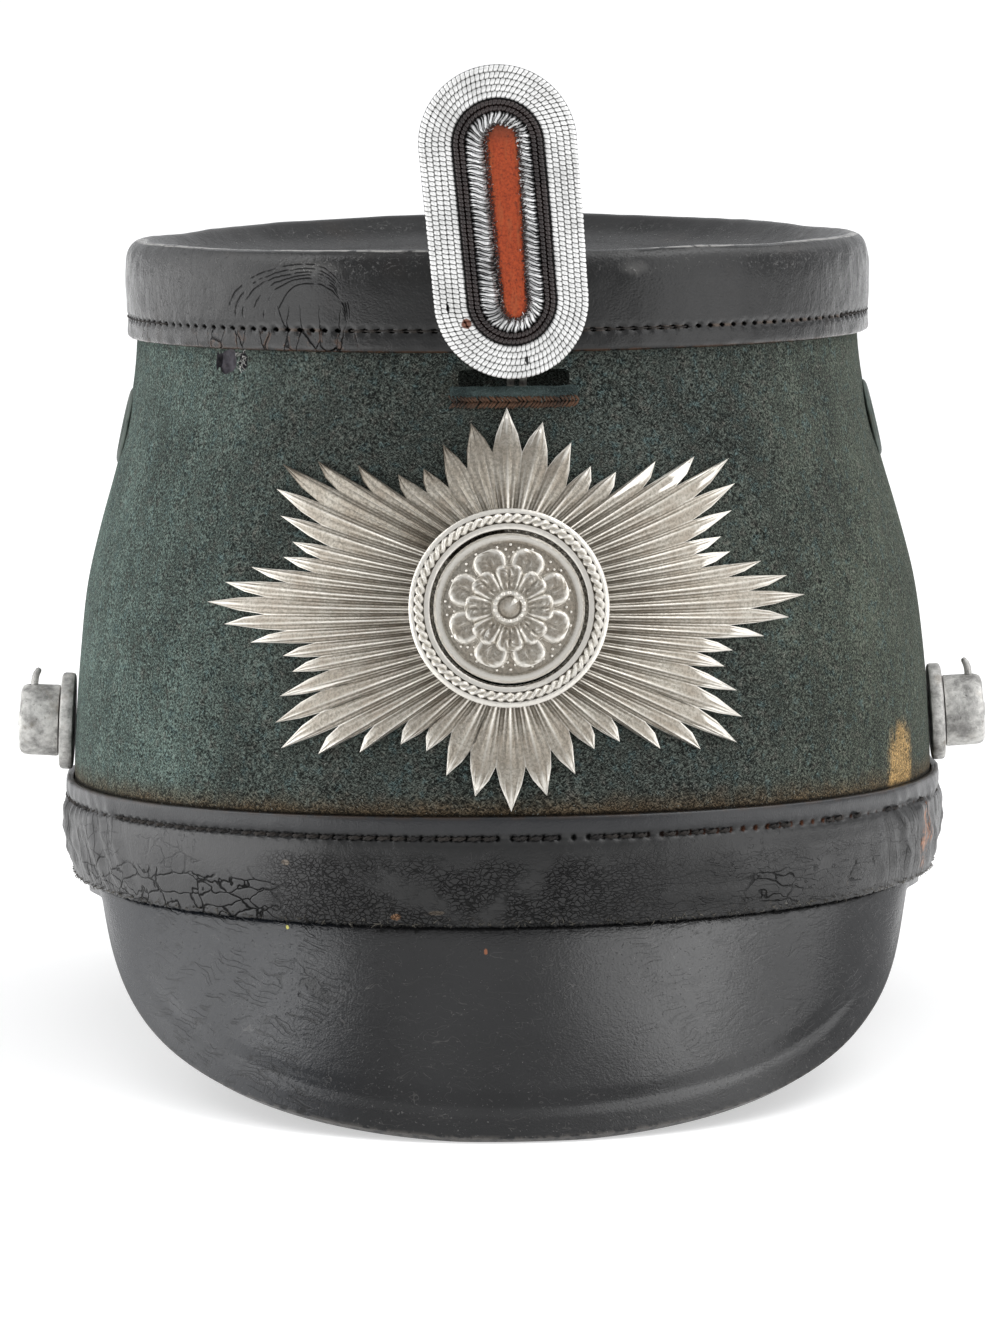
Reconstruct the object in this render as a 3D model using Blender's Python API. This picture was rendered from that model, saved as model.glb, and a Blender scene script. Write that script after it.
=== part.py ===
"""A shako: a stiff felt-covered hat with a leather crown cap, a leather foot band, a front and a rear peak,
an oval cockade, a star plate, side vents and the side posts of a chin strap.

Everything is modelled upright in the hat's own frame, in metres: the origin is the middle of the foot
band's lower edge, the front faces -Y and +X is the viewer's right. At the end the whole hat is tipped back
about X, so that it stands on the edges of its two peaks, with the ground at Z = 0.

Round the hat, an angle of 0 is the middle of the front, 90 the viewer's right and 180 the middle of the back.
Tables are in millimetres and degrees.
"""

import math

import bmesh
import bpy
from mathutils import Matrix, Vector

MM = 0.001
GAP = 0.3  # between touching pieces

AROUND = 48  # faces round the hat
STEP = 360 / AROUND

# The felt's outer surface: (height, half width, half depth, how far the middle lies behind the origin)
BODY_SECTIONS = (
    (0.0, 85.3, 102.3, 0.0),
    (8.0, 86.0, 102.9, 0.0),
    (19.5, 86.3, 103.1, 0.0),
    (32.0, 85.8, 102.4, -0.2),
    (44.0, 84.8, 101.1, -0.5),
    (56.0, 83.2, 99.1, -1.0),
    (68.0, 80.2, 96.0, -1.6),
    (80.0, 76.9, 92.0, -2.2),
    (92.0, 74.0, 88.6, -2.7),
    (104.0, 72.2, 86.4, -3.0),
    (122.0, 71.8, 86.0, -3.0),
)
BODY_WALL = 3.0
BODY_FOOT, BODY_HEAD = 1.0, 116.0
REBATE_TOP, REBATE_DEPTH = 10.8, 1.9  # the peaks' flanges lie in this step of the wall

# The crown cap's outer side, rim and dish: (height, distance outside the felt's top oval)
CROWN_OVAL_HEIGHT = 122.0
CROWN_PROFILE = (
    (106.5, 2.0),
    (113.0, 2.4),
    (119.0, 2.8),
    (123.0, 2.6),
    (125.2, 1.0),
    (125.3, -1.8),
    (122.6, -6.0),
    (120.4, -12.0),
    (119.8, -40.0),
)
CROWN_WALL = 1.5

# The foot band's section: (height, distance outside the felt)
BAND_SECTION = (
    (19.5, GAP),
    (19.5, 1.5),
    (15.7, 1.4),
    (11.0, 2.0),
    (5.0, 1.9),
    (0.4, 1.5),
    (-1.2, 1.2),
    (0.6, GAP),
    (10.0, GAP),
)

BAND_DIP = 1.6

# The peaks, each by its middle angle, half span, drop and reach at the tip, how quickly both die away
# towards its ends, and how far its blade bulges. The rear one's edge lies on the ground.
FRONT_PEAK = {
    "middle": 0.0,
    "half_span": 75.0,
    "fades_at": 70.0,
    "drop": 36.5,
    "reach": 30.0,
    "drop_power": 0.82,
    "reach_power": 1.45,
    "skew": 0.02,
    "bulge": 1.2,
}
REAR_PEAK = {
    "middle": 180.0,
    "half_span": 60.0,
    "drop": 25.0,
    "reach": 15.0,
    "drop_power": 0.6,
    "reach_power": 0.8,
    "flat_span": 37.5,
    "edge": 2.3,
    "bulge": 0.8,
}
FLANGE_TOP, FLANGE_WALL = 10.4, 1.6
BLADE_WALL = 2.0
BLADE_ROOT, BLADE_LEAST = -0.9, 3.0  # height of the bend, and the least drop at a peak's ends
BLADE_ROWS = 5
BULGE_LENGTH = 45.0  # a blade this long bulges by the table's full amount

# The plate: a star of rays curved round the front of the felt, with a corded ring and a boss on it
PLATE_HEIGHT = 58.2
PLATE_SIDE = 1.2
STAR_GROUPS = 8
STAR_RAY_LENGTHS = (0.74, 0.84, 0.93, 1.0, 0.93, 0.84, 0.74)
STAR_HALF_WIDTH, STAR_HALF_HEIGHT = 64.0, 37.5
STAR_DISC_RADIUS = 14.0
STAR_SEGMENTS = 3
STAR_WALL, STAR_RIDGE = 1.0, 1.5
STAR_OFFSET = 0.35
STAR_VALLEY = 0.87  # reach of the notch between two rays, as a share of the shorter one
RING_RADIUS, RING_SIDES = 16.2, 32
RING_SECTION = ((-1.9, 0.0), (-1.5, 1.5), (0.0, 2.1), (1.5, 1.5), (1.9, 0.0))  # (across, up)
BOSS_RADIUS, BOSS_PETALS, BOSS_PETAL_RISE = 13.6, 8, 0.35
BOSS_PROFILE = (  # (share of the radius, height)
    (1.0, 0.0),
    (0.97, 0.9),
    (0.8, 2.0),
    (0.6, 2.9),
    (0.42, 3.0),
    (0.36, 3.9),
    (0.18, 4.2),
    (0.0, 4.3),
)

# The cockade's bands, round one middle line: (inner and outer half width, height, ridges, finish)
COCKADE_STRAIGHT = 14.6  # half the straight part
COCKADE_MIDDLE = (1.3, -95.0, 130.9)
COCKADE_LEAN = -5.0
COCKADE_BANDS = {
    "cockade_silver_cords": (8.7, 14.8, 1.5, 5, "silver_cord"),
    "cockade_black_cords": (6.2, 8.4, 1.9, 2, "black_cord"),
    "cockade_bullion": (2.7, 5.9, 2.4, 1, "bullion"),
}
COCKADE_CENTRE = (2.4, 1.9)
BACKING_HALF_WIDTH, BACKING_WALL, BACKING_EDGE = 14.9, 1.2, 0.4

# The pocket behind the cockade: a slit through the felt with a bound lower lip
POCKET_HEIGHT, POCKET_SIDE, POCKET_HALF_WIDTH, POCKET_OPEN = 101.2, 2.6, 10.5, 3.4
POCKET_CUT_DEPTH = 14.0
BINDING_WALL, BINDING_HALF_WIDTH, BINDING_TALL = 0.9, 12.0, 2.6
PRONG_SIDE, PRONG_SPREAD, PRONG_RADIUS = 3.2, 1.15, 0.75

# Side fittings
VENT_ANGLE, VENT_HEIGHT, VENT_BORE = 85.0, 88.6, 6.0
VENT_EYELET = (  # (radius, distance outside the felt)
    (4.9, -2.6),
    (VENT_BORE - GAP, -2.6),
    (VENT_BORE - GAP, 0.5),
    (7.7, 0.5),
    (7.4, 0.9),
    (6.0, 1.2),
    (4.9, 0.8),
)
VENT_SCREEN = ((4.6, -1.6), (4.6, -0.8))
VENT_HOLE_RADIUS, VENT_HOLE_CIRCLE, VENT_HOLES_ROUND = 0.9, 2.8, 6
POST_ANGLE, POST_HEIGHT = 89.0, 28.4
POST_WASHER = ((9.2, 0.0), (9.7, 0.5), (9.7, 2.2), (9.0, 2.8))
POST_BARREL = ((7.1, 0.0), (7.1, 6.7), (6.8, 7.4), (6.1, 7.8), (1.6, 7.8), (1.2, 8.2))
POST_HOLE_RADIUS, POST_HOLE_DEPTH, POST_HOLE_OUT = 1.05, 2.6, 5.2
POST_HOOK_RADIUS, POST_HOOK_TALL, POST_HOOK_LEAN = 0.75, 3.3, 0.9
WORN_HOLE = {"angle": -46.0, "height": 104.0, "radius": 2.2, "depth": 1.0}

FINISHES = {  # colour, roughness, metallic
    "felt": ((0.055, 0.085, 0.070), 0.95, 0.0),
    "leather": ((0.022, 0.022, 0.024), 0.45, 0.0),
    "old_leather": ((0.030, 0.029, 0.029), 0.6, 0.0),
    "peak_leather": ((0.018, 0.018, 0.020), 0.32, 0.0),
    "binding": ((0.060, 0.090, 0.085), 0.9, 0.0),
    "silver": ((0.62, 0.59, 0.53), 0.38, 1.0),
    "dull_alloy": ((0.58, 0.57, 0.55), 0.5, 1.0),
    "vent_paint": ((0.20, 0.26, 0.22), 0.5, 0.3),
    "screen": ((0.03, 0.03, 0.03), 0.6, 0.4),
    "silver_cord": ((0.75, 0.76, 0.76), 0.5, 0.2),
    "black_cord": ((0.030, 0.022, 0.022), 0.7, 0.0),
    "bullion": ((0.66, 0.67, 0.68), 0.35, 0.6),
    "orange_cloth": ((0.62, 0.13, 0.05), 0.9, 0.0),
    "wire": ((0.55, 0.53, 0.50), 0.4, 1.0),
}


def hat_frame():
    """The empty that every piece hangs from, tipped and lifted at the end."""
    empty = bpy.data.objects.new("hat_frame", None)
    bpy.context.scene.collection.objects.link(empty)
    return empty


def material(name):
    made = bpy.data.materials.get(name)
    if made:
        return made
    colour, roughness, metallic = FINISHES[name]
    made = bpy.data.materials.new(name)
    made.use_nodes = True
    shader = made.node_tree.nodes["Principled BSDF"]
    shader.inputs["Base Color"].default_value = (*colour, 1.0)
    shader.inputs["Roughness"].default_value = roughness
    shader.inputs["Metallic"].default_value = metallic
    return made


def add_object(name, mesh_data, finish, parent, place=None, smooth=30):
    """A named object from a bmesh in metres, hung from its parent at a place."""
    bmesh.ops.recalc_face_normals(mesh_data, faces=mesh_data.faces)
    mesh = bpy.data.meshes.new(name)
    mesh_data.to_mesh(mesh)
    mesh_data.free()
    mesh.materials.append(material(finish))
    mesh.shade_smooth()
    mesh.set_sharp_from_angle(angle=math.radians(smooth))
    made = bpy.data.objects.new(name, mesh)
    bpy.context.scene.collection.objects.link(made)
    made.parent = parent
    if place is not None:
        made.matrix_local = place
    return made


# The shape of the felt body, which carries the rest


def body_section(height):
    """Half width, half depth and middle of the felt at a height, on a smooth curve through the table."""
    rows = BODY_SECTIONS
    low = max(i for i in range(len(rows) - 1) if rows[i][0] <= max(height, rows[0][0]))
    before, start, end = rows[max(low - 1, 0)], rows[low], rows[low + 1]
    after = rows[min(low + 2, len(rows) - 1)]
    span = end[0] - start[0]
    t = min(max((height - start[0]) / span, 0.0), 1.0)
    values = []
    for column in (1, 2, 3):
        slope_in = (end[column] - before[column]) / (end[0] - before[0]) * span
        slope_out = (after[column] - start[column]) / (after[0] - start[0]) * span
        values.append(
            (2 * t**3 - 3 * t**2 + 1) * start[column]
            + (t**3 - 2 * t**2 + t) * slope_in
            + (-2 * t**3 + 3 * t**2) * end[column]
            + (t**3 - t**2) * slope_out
        )
    return values


def oval_point(angle, height, section, outside=0.0):
    """A point of an oval, moved outwards along the oval's own normal, in metres."""
    half_width, half_depth, middle = section
    sine, cosine = math.sin(math.radians(angle)), math.cos(math.radians(angle))
    normal = Vector((sine / half_width, -cosine / half_depth, 0)).normalized()
    point = Vector((half_width * sine, middle - half_depth * cosine, height))
    return (point + normal * outside) * MM


def body_point(angle, height, outside=0.0):
    return oval_point(angle, height, body_section(height), outside)


def body_place(angle, height, outside=0.0):
    """A frame on the felt: its Z leads straight out of the surface, and its Y up along it."""
    up = (body_point(angle, height + 1) - body_point(angle, height - 1)).normalized()
    along = (body_point(angle + 1, height) - body_point(angle - 1, height)).normalized()
    out = along.cross(up).normalized()
    origin = body_point(angle, height) + out * outside * MM
    axes = Matrix((up.cross(out), up, out)).transposed().to_4x4()
    return Matrix.Translation(origin) @ axes


def angle_along(distance, height):
    """The angle reached by going a distance along the felt from the middle of the front."""
    half_width, half_depth, _ = body_section(height)
    pieces = 24
    angle = 0.0
    for _ in range(pieces):
        sine, cosine = math.sin(angle), math.cos(angle)
        angle += distance / pieces / math.hypot(half_width * cosine, half_depth * sine)
    return math.degrees(angle)


# Ways of making closed meshes


def loft(loops, closed=False, tips=(None, None)):
    """Joins equal loops of points in turn. A closed loft joins the last loop to the first; otherwise each
    end is closed by a fan to its tip, or by one flat face."""
    made = bmesh.new()
    rings = [[made.verts.new(point) for point in loop] for loop in loops]
    count = len(rings[0])
    pairs = list(zip(rings, rings[1:]))
    if closed:
        pairs.append((rings[-1], rings[0]))
    for low, high in pairs:
        for i in range(count):
            j = (i + 1) % count
            made.faces.new((low[i], low[j], high[j], high[i]))
    if not closed:
        for ring, tip in zip((rings[0], rings[-1]), tips):
            if tip is None:
                made.faces.new(ring)
                continue
            middle = made.verts.new(tip)
            for i in range(count):
                made.faces.new((ring[i], ring[(i + 1) % count], middle))
    return made


def sheet(outer, inner):
    """A closed wall between two grids of points of the same size."""
    made = bmesh.new()
    grids = [[[made.verts.new(point) for point in row] for row in grid] for grid in (outer, inner)]
    rows, columns = len(outer), len(outer[0])
    for grid in grids:
        for i in range(rows - 1):
            for j in range(columns - 1):
                made.faces.new((grid[i][j], grid[i][j + 1], grid[i + 1][j + 1], grid[i + 1][j]))
    border = [(0, j) for j in range(columns)]
    border += [(i, columns - 1) for i in range(1, rows)]
    border += [(rows - 1, j) for j in range(columns - 2, -1, -1)]
    border += [(i, 0) for i in range(rows - 2, 0, -1)]
    top, bottom = grids
    for (i, j), (k, m) in zip(border, border[1:] + border[:1]):
        made.faces.new((top[i][j], top[k][m], bottom[k][m], bottom[i][j]))
    return made


def turned(profile, sides, closed=False):
    """Spins (radius, height) rows round Z. An open profile is closed on the axis at both ends."""
    rows = list(profile)
    if not closed:
        rows = [(0, rows[0][1]), *rows, (0, rows[-1][1])]
    made = bmesh.new()
    points = [made.verts.new(Vector((radius, 0, height)) * MM) for radius, height in rows]
    edges = [made.edges.new(pair) for pair in zip(points, points[1:])]
    if closed:
        edges.append(made.edges.new((points[-1], points[0])))
    axis = {"cent": (0, 0, 0), "axis": (0, 0, 1), "angle": math.tau, "steps": sides}
    bmesh.ops.spin(made, geom=points + edges, use_merge=True, **axis)
    bmesh.ops.remove_doubles(made, verts=made.verts, dist=0.000001)
    return made


def add_wire(name, points, radius, finish, parent, place=None):
    """A round wire with closed ends, as a bevelled curve along points in millimetres."""
    curve = bpy.data.curves.new(name, "CURVE")
    curve.dimensions = "3D"
    curve.bevel_depth = radius * MM
    curve.bevel_resolution = 2
    curve.use_fill_caps = True
    spline = curve.splines.new("POLY")
    spline.points.add(len(points) - 1)
    for target, point in zip(spline.points, points):
        target.co = (*(Vector(point) * MM), 1.0)
    curve.materials.append(material(finish))
    made = bpy.data.objects.new(name, curve)
    bpy.context.scene.collection.objects.link(made)
    made.parent = parent
    if place is not None:
        made.matrix_local = place
    return made


def beside(profile, distance):
    """A profile of (out, height) rows moved sideways, to the right of the way it runs."""
    moved = []
    for i, point in enumerate(profile):
        ahead = Vector(profile[min(i + 1, len(profile) - 1)])
        along = (ahead - Vector(profile[max(i - 1, 0)])).normalized()
        moved.append((point[0] + along.y * distance, point[1] - along.x * distance))
    return moved


def cut(target, cutter):
    """Takes the cutter out of the target with a Boolean, and hides the cutter."""
    cutter.hide_render = True
    cutter.display_type = "WIRE"
    step = target.modifiers.new("cut_" + cutter.name, "BOOLEAN")
    step.operation = "DIFFERENCE"
    step.object = cutter


# The pieces


def angles_round():
    return [STEP * i for i in range(AROUND)]


def make_felt_body(parent):
    """The felt-covered wall, stepped back at its foot for the peaks' flanges."""
    heights = [height for height, *_ in BODY_SECTIONS if REBATE_TOP < height < BODY_HEAD]
    outer = [(BODY_FOOT, -REBATE_DEPTH), (REBATE_TOP, -REBATE_DEPTH), (REBATE_TOP, 0.0)]
    outer += [(height, 0.0) for height in heights]
    outer += [(BODY_HEAD, 0.0)]
    inner = [(height, -BODY_WALL) for height in (BODY_HEAD, 96.0, 76.0, 44.0, BODY_FOOT)]
    loops = [
        [body_point(angle, height, outside) for angle in angles_round()]
        for height, outside in outer + inner
    ]
    return add_object("felt_body", loft(loops, closed=True), "felt", parent)


def make_crown_cap(parent):
    """One piece: the stitched side, the rolled rim and the dished top."""
    section = body_section(CROWN_OVAL_HEIGHT)
    outer = [(outside, height) for height, outside in CROWN_PROFILE]
    inner = beside(outer, -CROWN_WALL)
    loops = [
        [oval_point(angle, height, section, outside) for angle in angles_round()]
        for outside, height in outer[::-1] + inner
    ]
    middle = Vector((0, section[2], outer[-1][1])) * MM
    under = middle - Vector((0, 0, CROWN_WALL)) * MM
    return add_object("crown_cap", loft(loops, tips=(middle, under)), "leather", parent)


def band_height(angle, height):
    """The band's upper edge lies a little lower at the sides, and its lower edge stays level."""
    share = max(height, 0.0) / BAND_SECTION[0][0]
    return height - BAND_DIP * share * math.sin(math.radians(angle)) ** 2


def make_lower_band(parent):
    loops = [
        [body_point(angle, band_height(angle, height), outside) for angle in angles_round()]
        for height, outside in BAND_SECTION
    ]
    return add_object("lower_band", loft(loops, closed=True), "old_leather", parent)


def peak_size(peak, angle):
    """Drop and reach of the front peak at an angle."""
    away = math.radians(min(abs(angle - peak["middle"]) * 90 / peak["fades_at"], 90.0))
    share = max(math.cos(away), 0.0)
    lean = 1 + peak["skew"] * math.sin(math.radians(angle))
    return peak["drop"] * share ** peak["drop_power"] * lean, peak["reach"] * share ** peak["reach_power"]


def ground_height(y):
    """Height, in the hat's frame, of the plane that the hat stands on."""
    front, rear = standing_points()
    slope = (rear.z - front.z) / (rear.y - front.y)
    return front.z + (y - front.y) * slope


def standing_points():
    """The lowest points of the two peaks, in millimetres: the front one's lower corner and the rear tip."""
    front_base, rear_base = body_point(0, 0) / MM, body_point(180, 0) / MM
    outer = peak_section(FRONT_PEAK["drop"], FRONT_PEAK["reach"], FRONT_PEAK["bulge"])
    out, height = beside(outer, BLADE_WALL)[-1]
    front = Vector((0, front_base.y - out, height))
    rear = Vector((0, rear_base.y + REAR_PEAK["reach"], -REAR_PEAK["drop"]))
    return front, rear


def peak_section(drop, reach, bulge):
    """(out, height) rows of a peak's outer face: its flange, then its bulging blade down to the edge."""
    rows = [(0.0, FLANGE_TOP), (0.0, FLANGE_TOP / 2), (0.0, BLADE_ROOT)]
    length = math.hypot(drop, reach)
    out_way, down_way = reach / length, drop / length
    for i in range(1, BLADE_ROWS + 1):
        share = i / BLADE_ROWS
        rise = bulge * 4 * share * (1 - share) * length / BULGE_LENGTH
        rows.append(
            (
                reach * share + down_way * rise,
                BLADE_ROOT - (drop + BLADE_ROOT) * share + out_way * rise,
            )
        )
    return rows


def peak_walls(angle, section):
    """Outer and inner points of a peak at one angle: a thin flange and a thicker blade."""
    flange_rows = 4
    inner = beside(section, FLANGE_WALL)[:flange_rows] + beside(section, BLADE_WALL)[flange_rows:]
    return [[body_point(angle, height, out) for out, height in rows] for rows in (section, inner)]


def make_front_peak(parent):
    steps = round(FRONT_PEAK["half_span"] / STEP)
    outer, inner = [], []
    for i in range(-steps, steps + 1):
        angle = FRONT_PEAK["middle"] + STEP * i
        drop, reach = peak_size(FRONT_PEAK, angle)
        section = peak_section(max(drop, BLADE_LEAST), reach, FRONT_PEAK["bulge"])
        outer_row, inner_row = peak_walls(angle, section)
        outer.append(outer_row)
        inner.append(inner_row)
    return add_object("front_peak", sheet(outer, inner), "peak_leather", parent)


def make_rear_peak(parent):
    """Its edge lies level on the ground over the flat span, then rises to its ends."""
    flat_span = REAR_PEAK["flat_span"]
    steps = round(REAR_PEAK["half_span"] / STEP)
    base = body_section(0)
    outer, inner = [], []
    for i in range(-steps, steps + 1):
        angle = REAR_PEAK["middle"] + STEP * i
        past = max(abs(STEP * i) - flat_span, 0.0) / (steps * STEP - flat_span)
        share = max(math.cos(math.radians(past * 90)), 0.0)
        reach = REAR_PEAK["reach"] * share ** REAR_PEAK["reach_power"]
        tips = [oval_point(angle, 0, base, out) / MM for out in (reach, reach - REAR_PEAK["edge"])]
        drop = -ground_height(tips[0].y) * share ** REAR_PEAK["drop_power"]
        section = peak_section(max(drop, BLADE_LEAST), reach, REAR_PEAK["bulge"])
        outer_row, inner_row = peak_walls(angle, section)
        if past == 0:
            for row, tip in zip((outer_row, inner_row), tips):
                row[-1] = Vector((tip.x, tip.y, ground_height(tip.y))) * MM
        outer.append(outer_row)
        inner.append(inner_row)
    return add_object("rear_peak", sheet(outer, inner), "peak_leather", parent)


# The star plate


def plate_point(side, up, outside):
    """A point of the plate, by its distance along the felt and up it from the plate's middle."""
    height = PLATE_HEIGHT + up
    angle = angle_along(PLATE_SIDE + side, height)
    return body_place(angle, height, outside).translation


def make_plate_star(parent):
    rays = STAR_GROUPS * len(STAR_RAY_LENGTHS)
    width = 360 / rays
    half_group = len(STAR_RAY_LENGTHS) // 2

    def length(i):
        return STAR_RAY_LENGTHS[(i + half_group) % len(STAR_RAY_LENGTHS)]

    def line(turn, reach, heights):
        sine, cosine = math.sin(math.radians(turn)), math.cos(math.radians(turn))
        start = (STAR_DISC_RADIUS * sine, STAR_DISC_RADIUS * cosine)
        end = (STAR_HALF_WIDTH * sine * reach, STAR_HALF_HEIGHT * cosine * reach)
        points = []
        for k in range(STAR_SEGMENTS + 1):
            share = k / STAR_SEGMENTS
            side = start[0] + (end[0] - start[0]) * share
            up = start[1] + (end[1] - start[1]) * share
            raised = heights[0] + (heights[1] - heights[0]) * share
            points.append(plate_point(side, up, STAR_OFFSET + raised))
        return points

    made = bmesh.new()
    ridges, valleys, floors, tips = [], [], [], []
    for i in range(rays):
        turn = i * width
        ridge = line(turn, length(i), (STAR_WALL + STAR_RIDGE, STAR_WALL * 0.9))
        reach = min(length(i), length(i + 1)) * STAR_VALLEY
        valley = line(turn + width / 2, reach, (STAR_WALL, STAR_WALL * 0.8))
        floor = line(turn + width / 2, reach, (0.0, 0.0))
        ridges.append([made.verts.new(point) for point in ridge])
        valleys.append([made.verts.new(point) for point in valley])
        floors.append([made.verts.new(point) for point in floor])
        tips.append(made.verts.new(line(turn, length(i), (0.0, 0.0))[-1]))
    top_middle = made.verts.new(plate_point(0, 0, STAR_OFFSET + STAR_WALL))
    low_middle = made.verts.new(plate_point(0, 0, STAR_OFFSET))
    for i in range(rays):
        left, ridge, right = valleys[i - 1], ridges[i], valleys[i]
        low_left, low_right, tip = floors[i - 1], floors[i], tips[i]
        for k in range(STAR_SEGMENTS):
            made.faces.new((left[k], ridge[k], ridge[k + 1], left[k + 1]))
            made.faces.new((ridge[k], right[k], right[k + 1], ridge[k + 1]))
            made.faces.new((low_left[k], low_left[k + 1], low_right[k + 1], low_right[k]))
        made.faces.new((low_left[-1], tip, low_right[-1]))
        made.faces.new((left[-1], ridge[-1], tip, low_left[-1]))
        made.faces.new((ridge[-1], right[-1], low_right[-1], tip))
        made.faces.new((top_middle, ridge[0], left[0]))
        made.faces.new((top_middle, right[0], ridge[0]))
        made.faces.new((low_middle, low_left[0], low_right[0]))
    return add_object("plate_star", made, "silver", parent, smooth=15)


def plate_circle(radius, height, sides):
    """Points round the plate's middle, that far above the star's ridges."""
    turns = [math.tau * i / sides for i in range(sides)]
    base = STAR_OFFSET + STAR_WALL + STAR_RIDGE + GAP
    return [plate_point(radius * math.sin(t), radius * math.cos(t), base + height) for t in turns]


def make_plate_ring(parent):
    """A ring that lies on the roots of the star's rays."""
    loops = [plate_circle(RING_RADIUS + across, up, RING_SIDES) for across, up in RING_SECTION]
    return add_object("plate_ring", loft(loops, closed=True), "silver", parent)


def make_plate_boss(parent):
    """A domed boss with a rosette of petals round a button."""
    sides = BOSS_PETALS * 4
    loops = []
    for share, height in BOSS_PROFILE[:-1]:
        flat = plate_circle(share * BOSS_RADIUS, height, sides)
        tall = plate_circle(share * BOSS_RADIUS, height + BOSS_PETAL_RISE, sides)
        petals = 0.5 < share < 0.9
        loops.append([tall[i] if petals and i % 4 == 0 else flat[i] for i in range(sides)])
    tips = [plate_circle(0, height, 1)[0] for _, height in (BOSS_PROFILE[0], BOSS_PROFILE[-1])]
    return add_object("plate_boss", loft(loops, tips=tips), "silver", parent)


# The cockade


def stadium(half_width, points_per_end=11):
    """A ring of (x, z) points at a distance from the cockade's middle line."""
    outline = []
    for sign in (1, -1):
        for i in range(points_per_end + 1):
            turn = math.pi * i / points_per_end
            outline.append(
                (
                    sign * half_width * math.cos(turn),
                    sign * (COCKADE_STRAIGHT + half_width * math.sin(turn)),
                )
            )
    return outline


def stadium_loop(half_width, front):
    """The same ring as points in metres, that far in front of the backing's face."""
    return [Vector((x, -front, z)) * MM for x, z in stadium(half_width)]


def make_cockade(parent):
    place = Matrix.Translation(Vector(COCKADE_MIDDLE) * MM)
    place @= Matrix.Rotation(math.radians(COCKADE_LEAN), 4, "Y")
    backing = [
        stadium_loop(BACKING_HALF_WIDTH - BACKING_EDGE, -BACKING_WALL),
        stadium_loop(BACKING_HALF_WIDTH, -BACKING_WALL / 2),
        stadium_loop(BACKING_HALF_WIDTH, 0.0),
    ]
    add_object("cockade_backing", loft(backing), "leather", parent, place)
    for name, (inner, outer, tall, ridges, finish) in COCKADE_BANDS.items():
        width = (outer - inner) / ridges
        loops = [stadium_loop(inner, GAP)]
        for ridge in range(ridges):
            start = inner + width * ridge
            loops.append(stadium_loop(start + width * 0.1, GAP + tall * 0.7))
            loops.append(stadium_loop(start + width * 0.5, GAP + tall))
        loops.append(stadium_loop(outer - width * 0.1, GAP + tall * 0.7))
        loops.append(stadium_loop(outer, GAP))
        add_object(name, loft(loops, closed=True), finish, parent, place)
    half_width, tall = COCKADE_CENTRE
    rows = ((half_width, GAP), (half_width, tall * 0.6), (half_width * 0.6, tall))
    loops = [stadium_loop(width, front) for width, front in rows]
    add_object("cockade_centre", loft(loops), "orange_cloth", parent, place)
    make_prongs(parent)


def make_prongs(parent):
    """Two wires from the back of the cockade through the pocket's slit and down inside the wall."""
    wall = body_point(0, POCKET_HEIGHT).y / MM
    behind = COCKADE_MIDDLE[1] + BACKING_WALL + GAP + PRONG_RADIUS
    inside = wall + BODY_WALL + 1.6
    path = (
        (behind, 112.0),
        (behind, 104.0),
        (wall - 0.2, 101.9),
        (wall + 2.2, 100.9),
        (inside, 99.6),
        (inside + 0.2, 90.0),
    )
    for side, name in ((-1, "left"), (1, "right")):
        points = [(PRONG_SIDE + side * PRONG_SPREAD, y, z) for y, z in path]
        add_wire("cockade_prong_" + name, points, PRONG_RADIUS, "wire", parent)


def make_pocket(parent, body):
    """The slit through the felt, and the cloth that binds its lower lip."""
    wall = body_point(0, POCKET_HEIGHT).y / MM
    bpy.ops.mesh.primitive_cube_add(size=1)
    slit = bpy.context.object
    slit.name = "pocket_slit"
    slit.parent = parent
    slit.scale = Vector((2 * POCKET_HALF_WIDTH, POCKET_CUT_DEPTH, POCKET_OPEN)) * MM
    slit.location = Vector((POCKET_SIDE, wall + 1, POCKET_HEIGHT)) * MM
    cut(body, slit)
    top = POCKET_HEIGHT - POCKET_OPEN / 2
    columns, rows = 8, 2
    outer, inner = [], []
    for i in range(rows + 1):
        height = top - 0.1 - BINDING_TALL * i / rows
        angles = [
            angle_along(POCKET_SIDE + BINDING_HALF_WIDTH * (2 * j / columns - 1), height)
            for j in range(columns + 1)
        ]
        swell = BINDING_WALL if i == 1 else BINDING_WALL * 0.7
        outer.append([body_point(angle, height, GAP + swell) for angle in angles])
        inner.append([body_point(angle, height, GAP) for angle in angles])
    return add_object("pocket_binding", sheet(outer, inner), "binding", parent)


# The side fittings


def make_vent(parent, body, side):
    """An eyelet through the felt and the pierced screen inside it."""
    name = "right" if side > 0 else "left"
    place = body_place(side * VENT_ANGLE, VENT_HEIGHT)
    bore = turned(((VENT_BORE, -8.0), (VENT_BORE, 6.0)), 24)
    cut(body, add_object("vent_bore_" + name, bore, "felt", parent, place))
    add_object("vent_ring_" + name, turned(VENT_EYELET, 20, closed=True), "vent_paint", parent, place)
    screen = add_object("vent_screen_" + name, turned(VENT_SCREEN, 20), "screen", parent, place)
    spots = [(0.0, 0.0)]
    for i in range(VENT_HOLES_ROUND):
        turn = math.tau * i / VENT_HOLES_ROUND
        spots.append((math.cos(turn) * VENT_HOLE_CIRCLE, math.sin(turn) * VENT_HOLE_CIRCLE))
    holes = bmesh.new()
    pin = {"radius1": VENT_HOLE_RADIUS * MM, "radius2": VENT_HOLE_RADIUS * MM, "depth": 3 * MM}
    for x, y in spots:
        spot = Matrix.Translation(Vector((x, y, VENT_SCREEN[0][1])) * MM)
        bmesh.ops.create_cone(holes, cap_ends=True, segments=6, matrix=spot, **pin)
    cut(screen, add_object("vent_holes_" + name, holes, "screen", parent, place))


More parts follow.
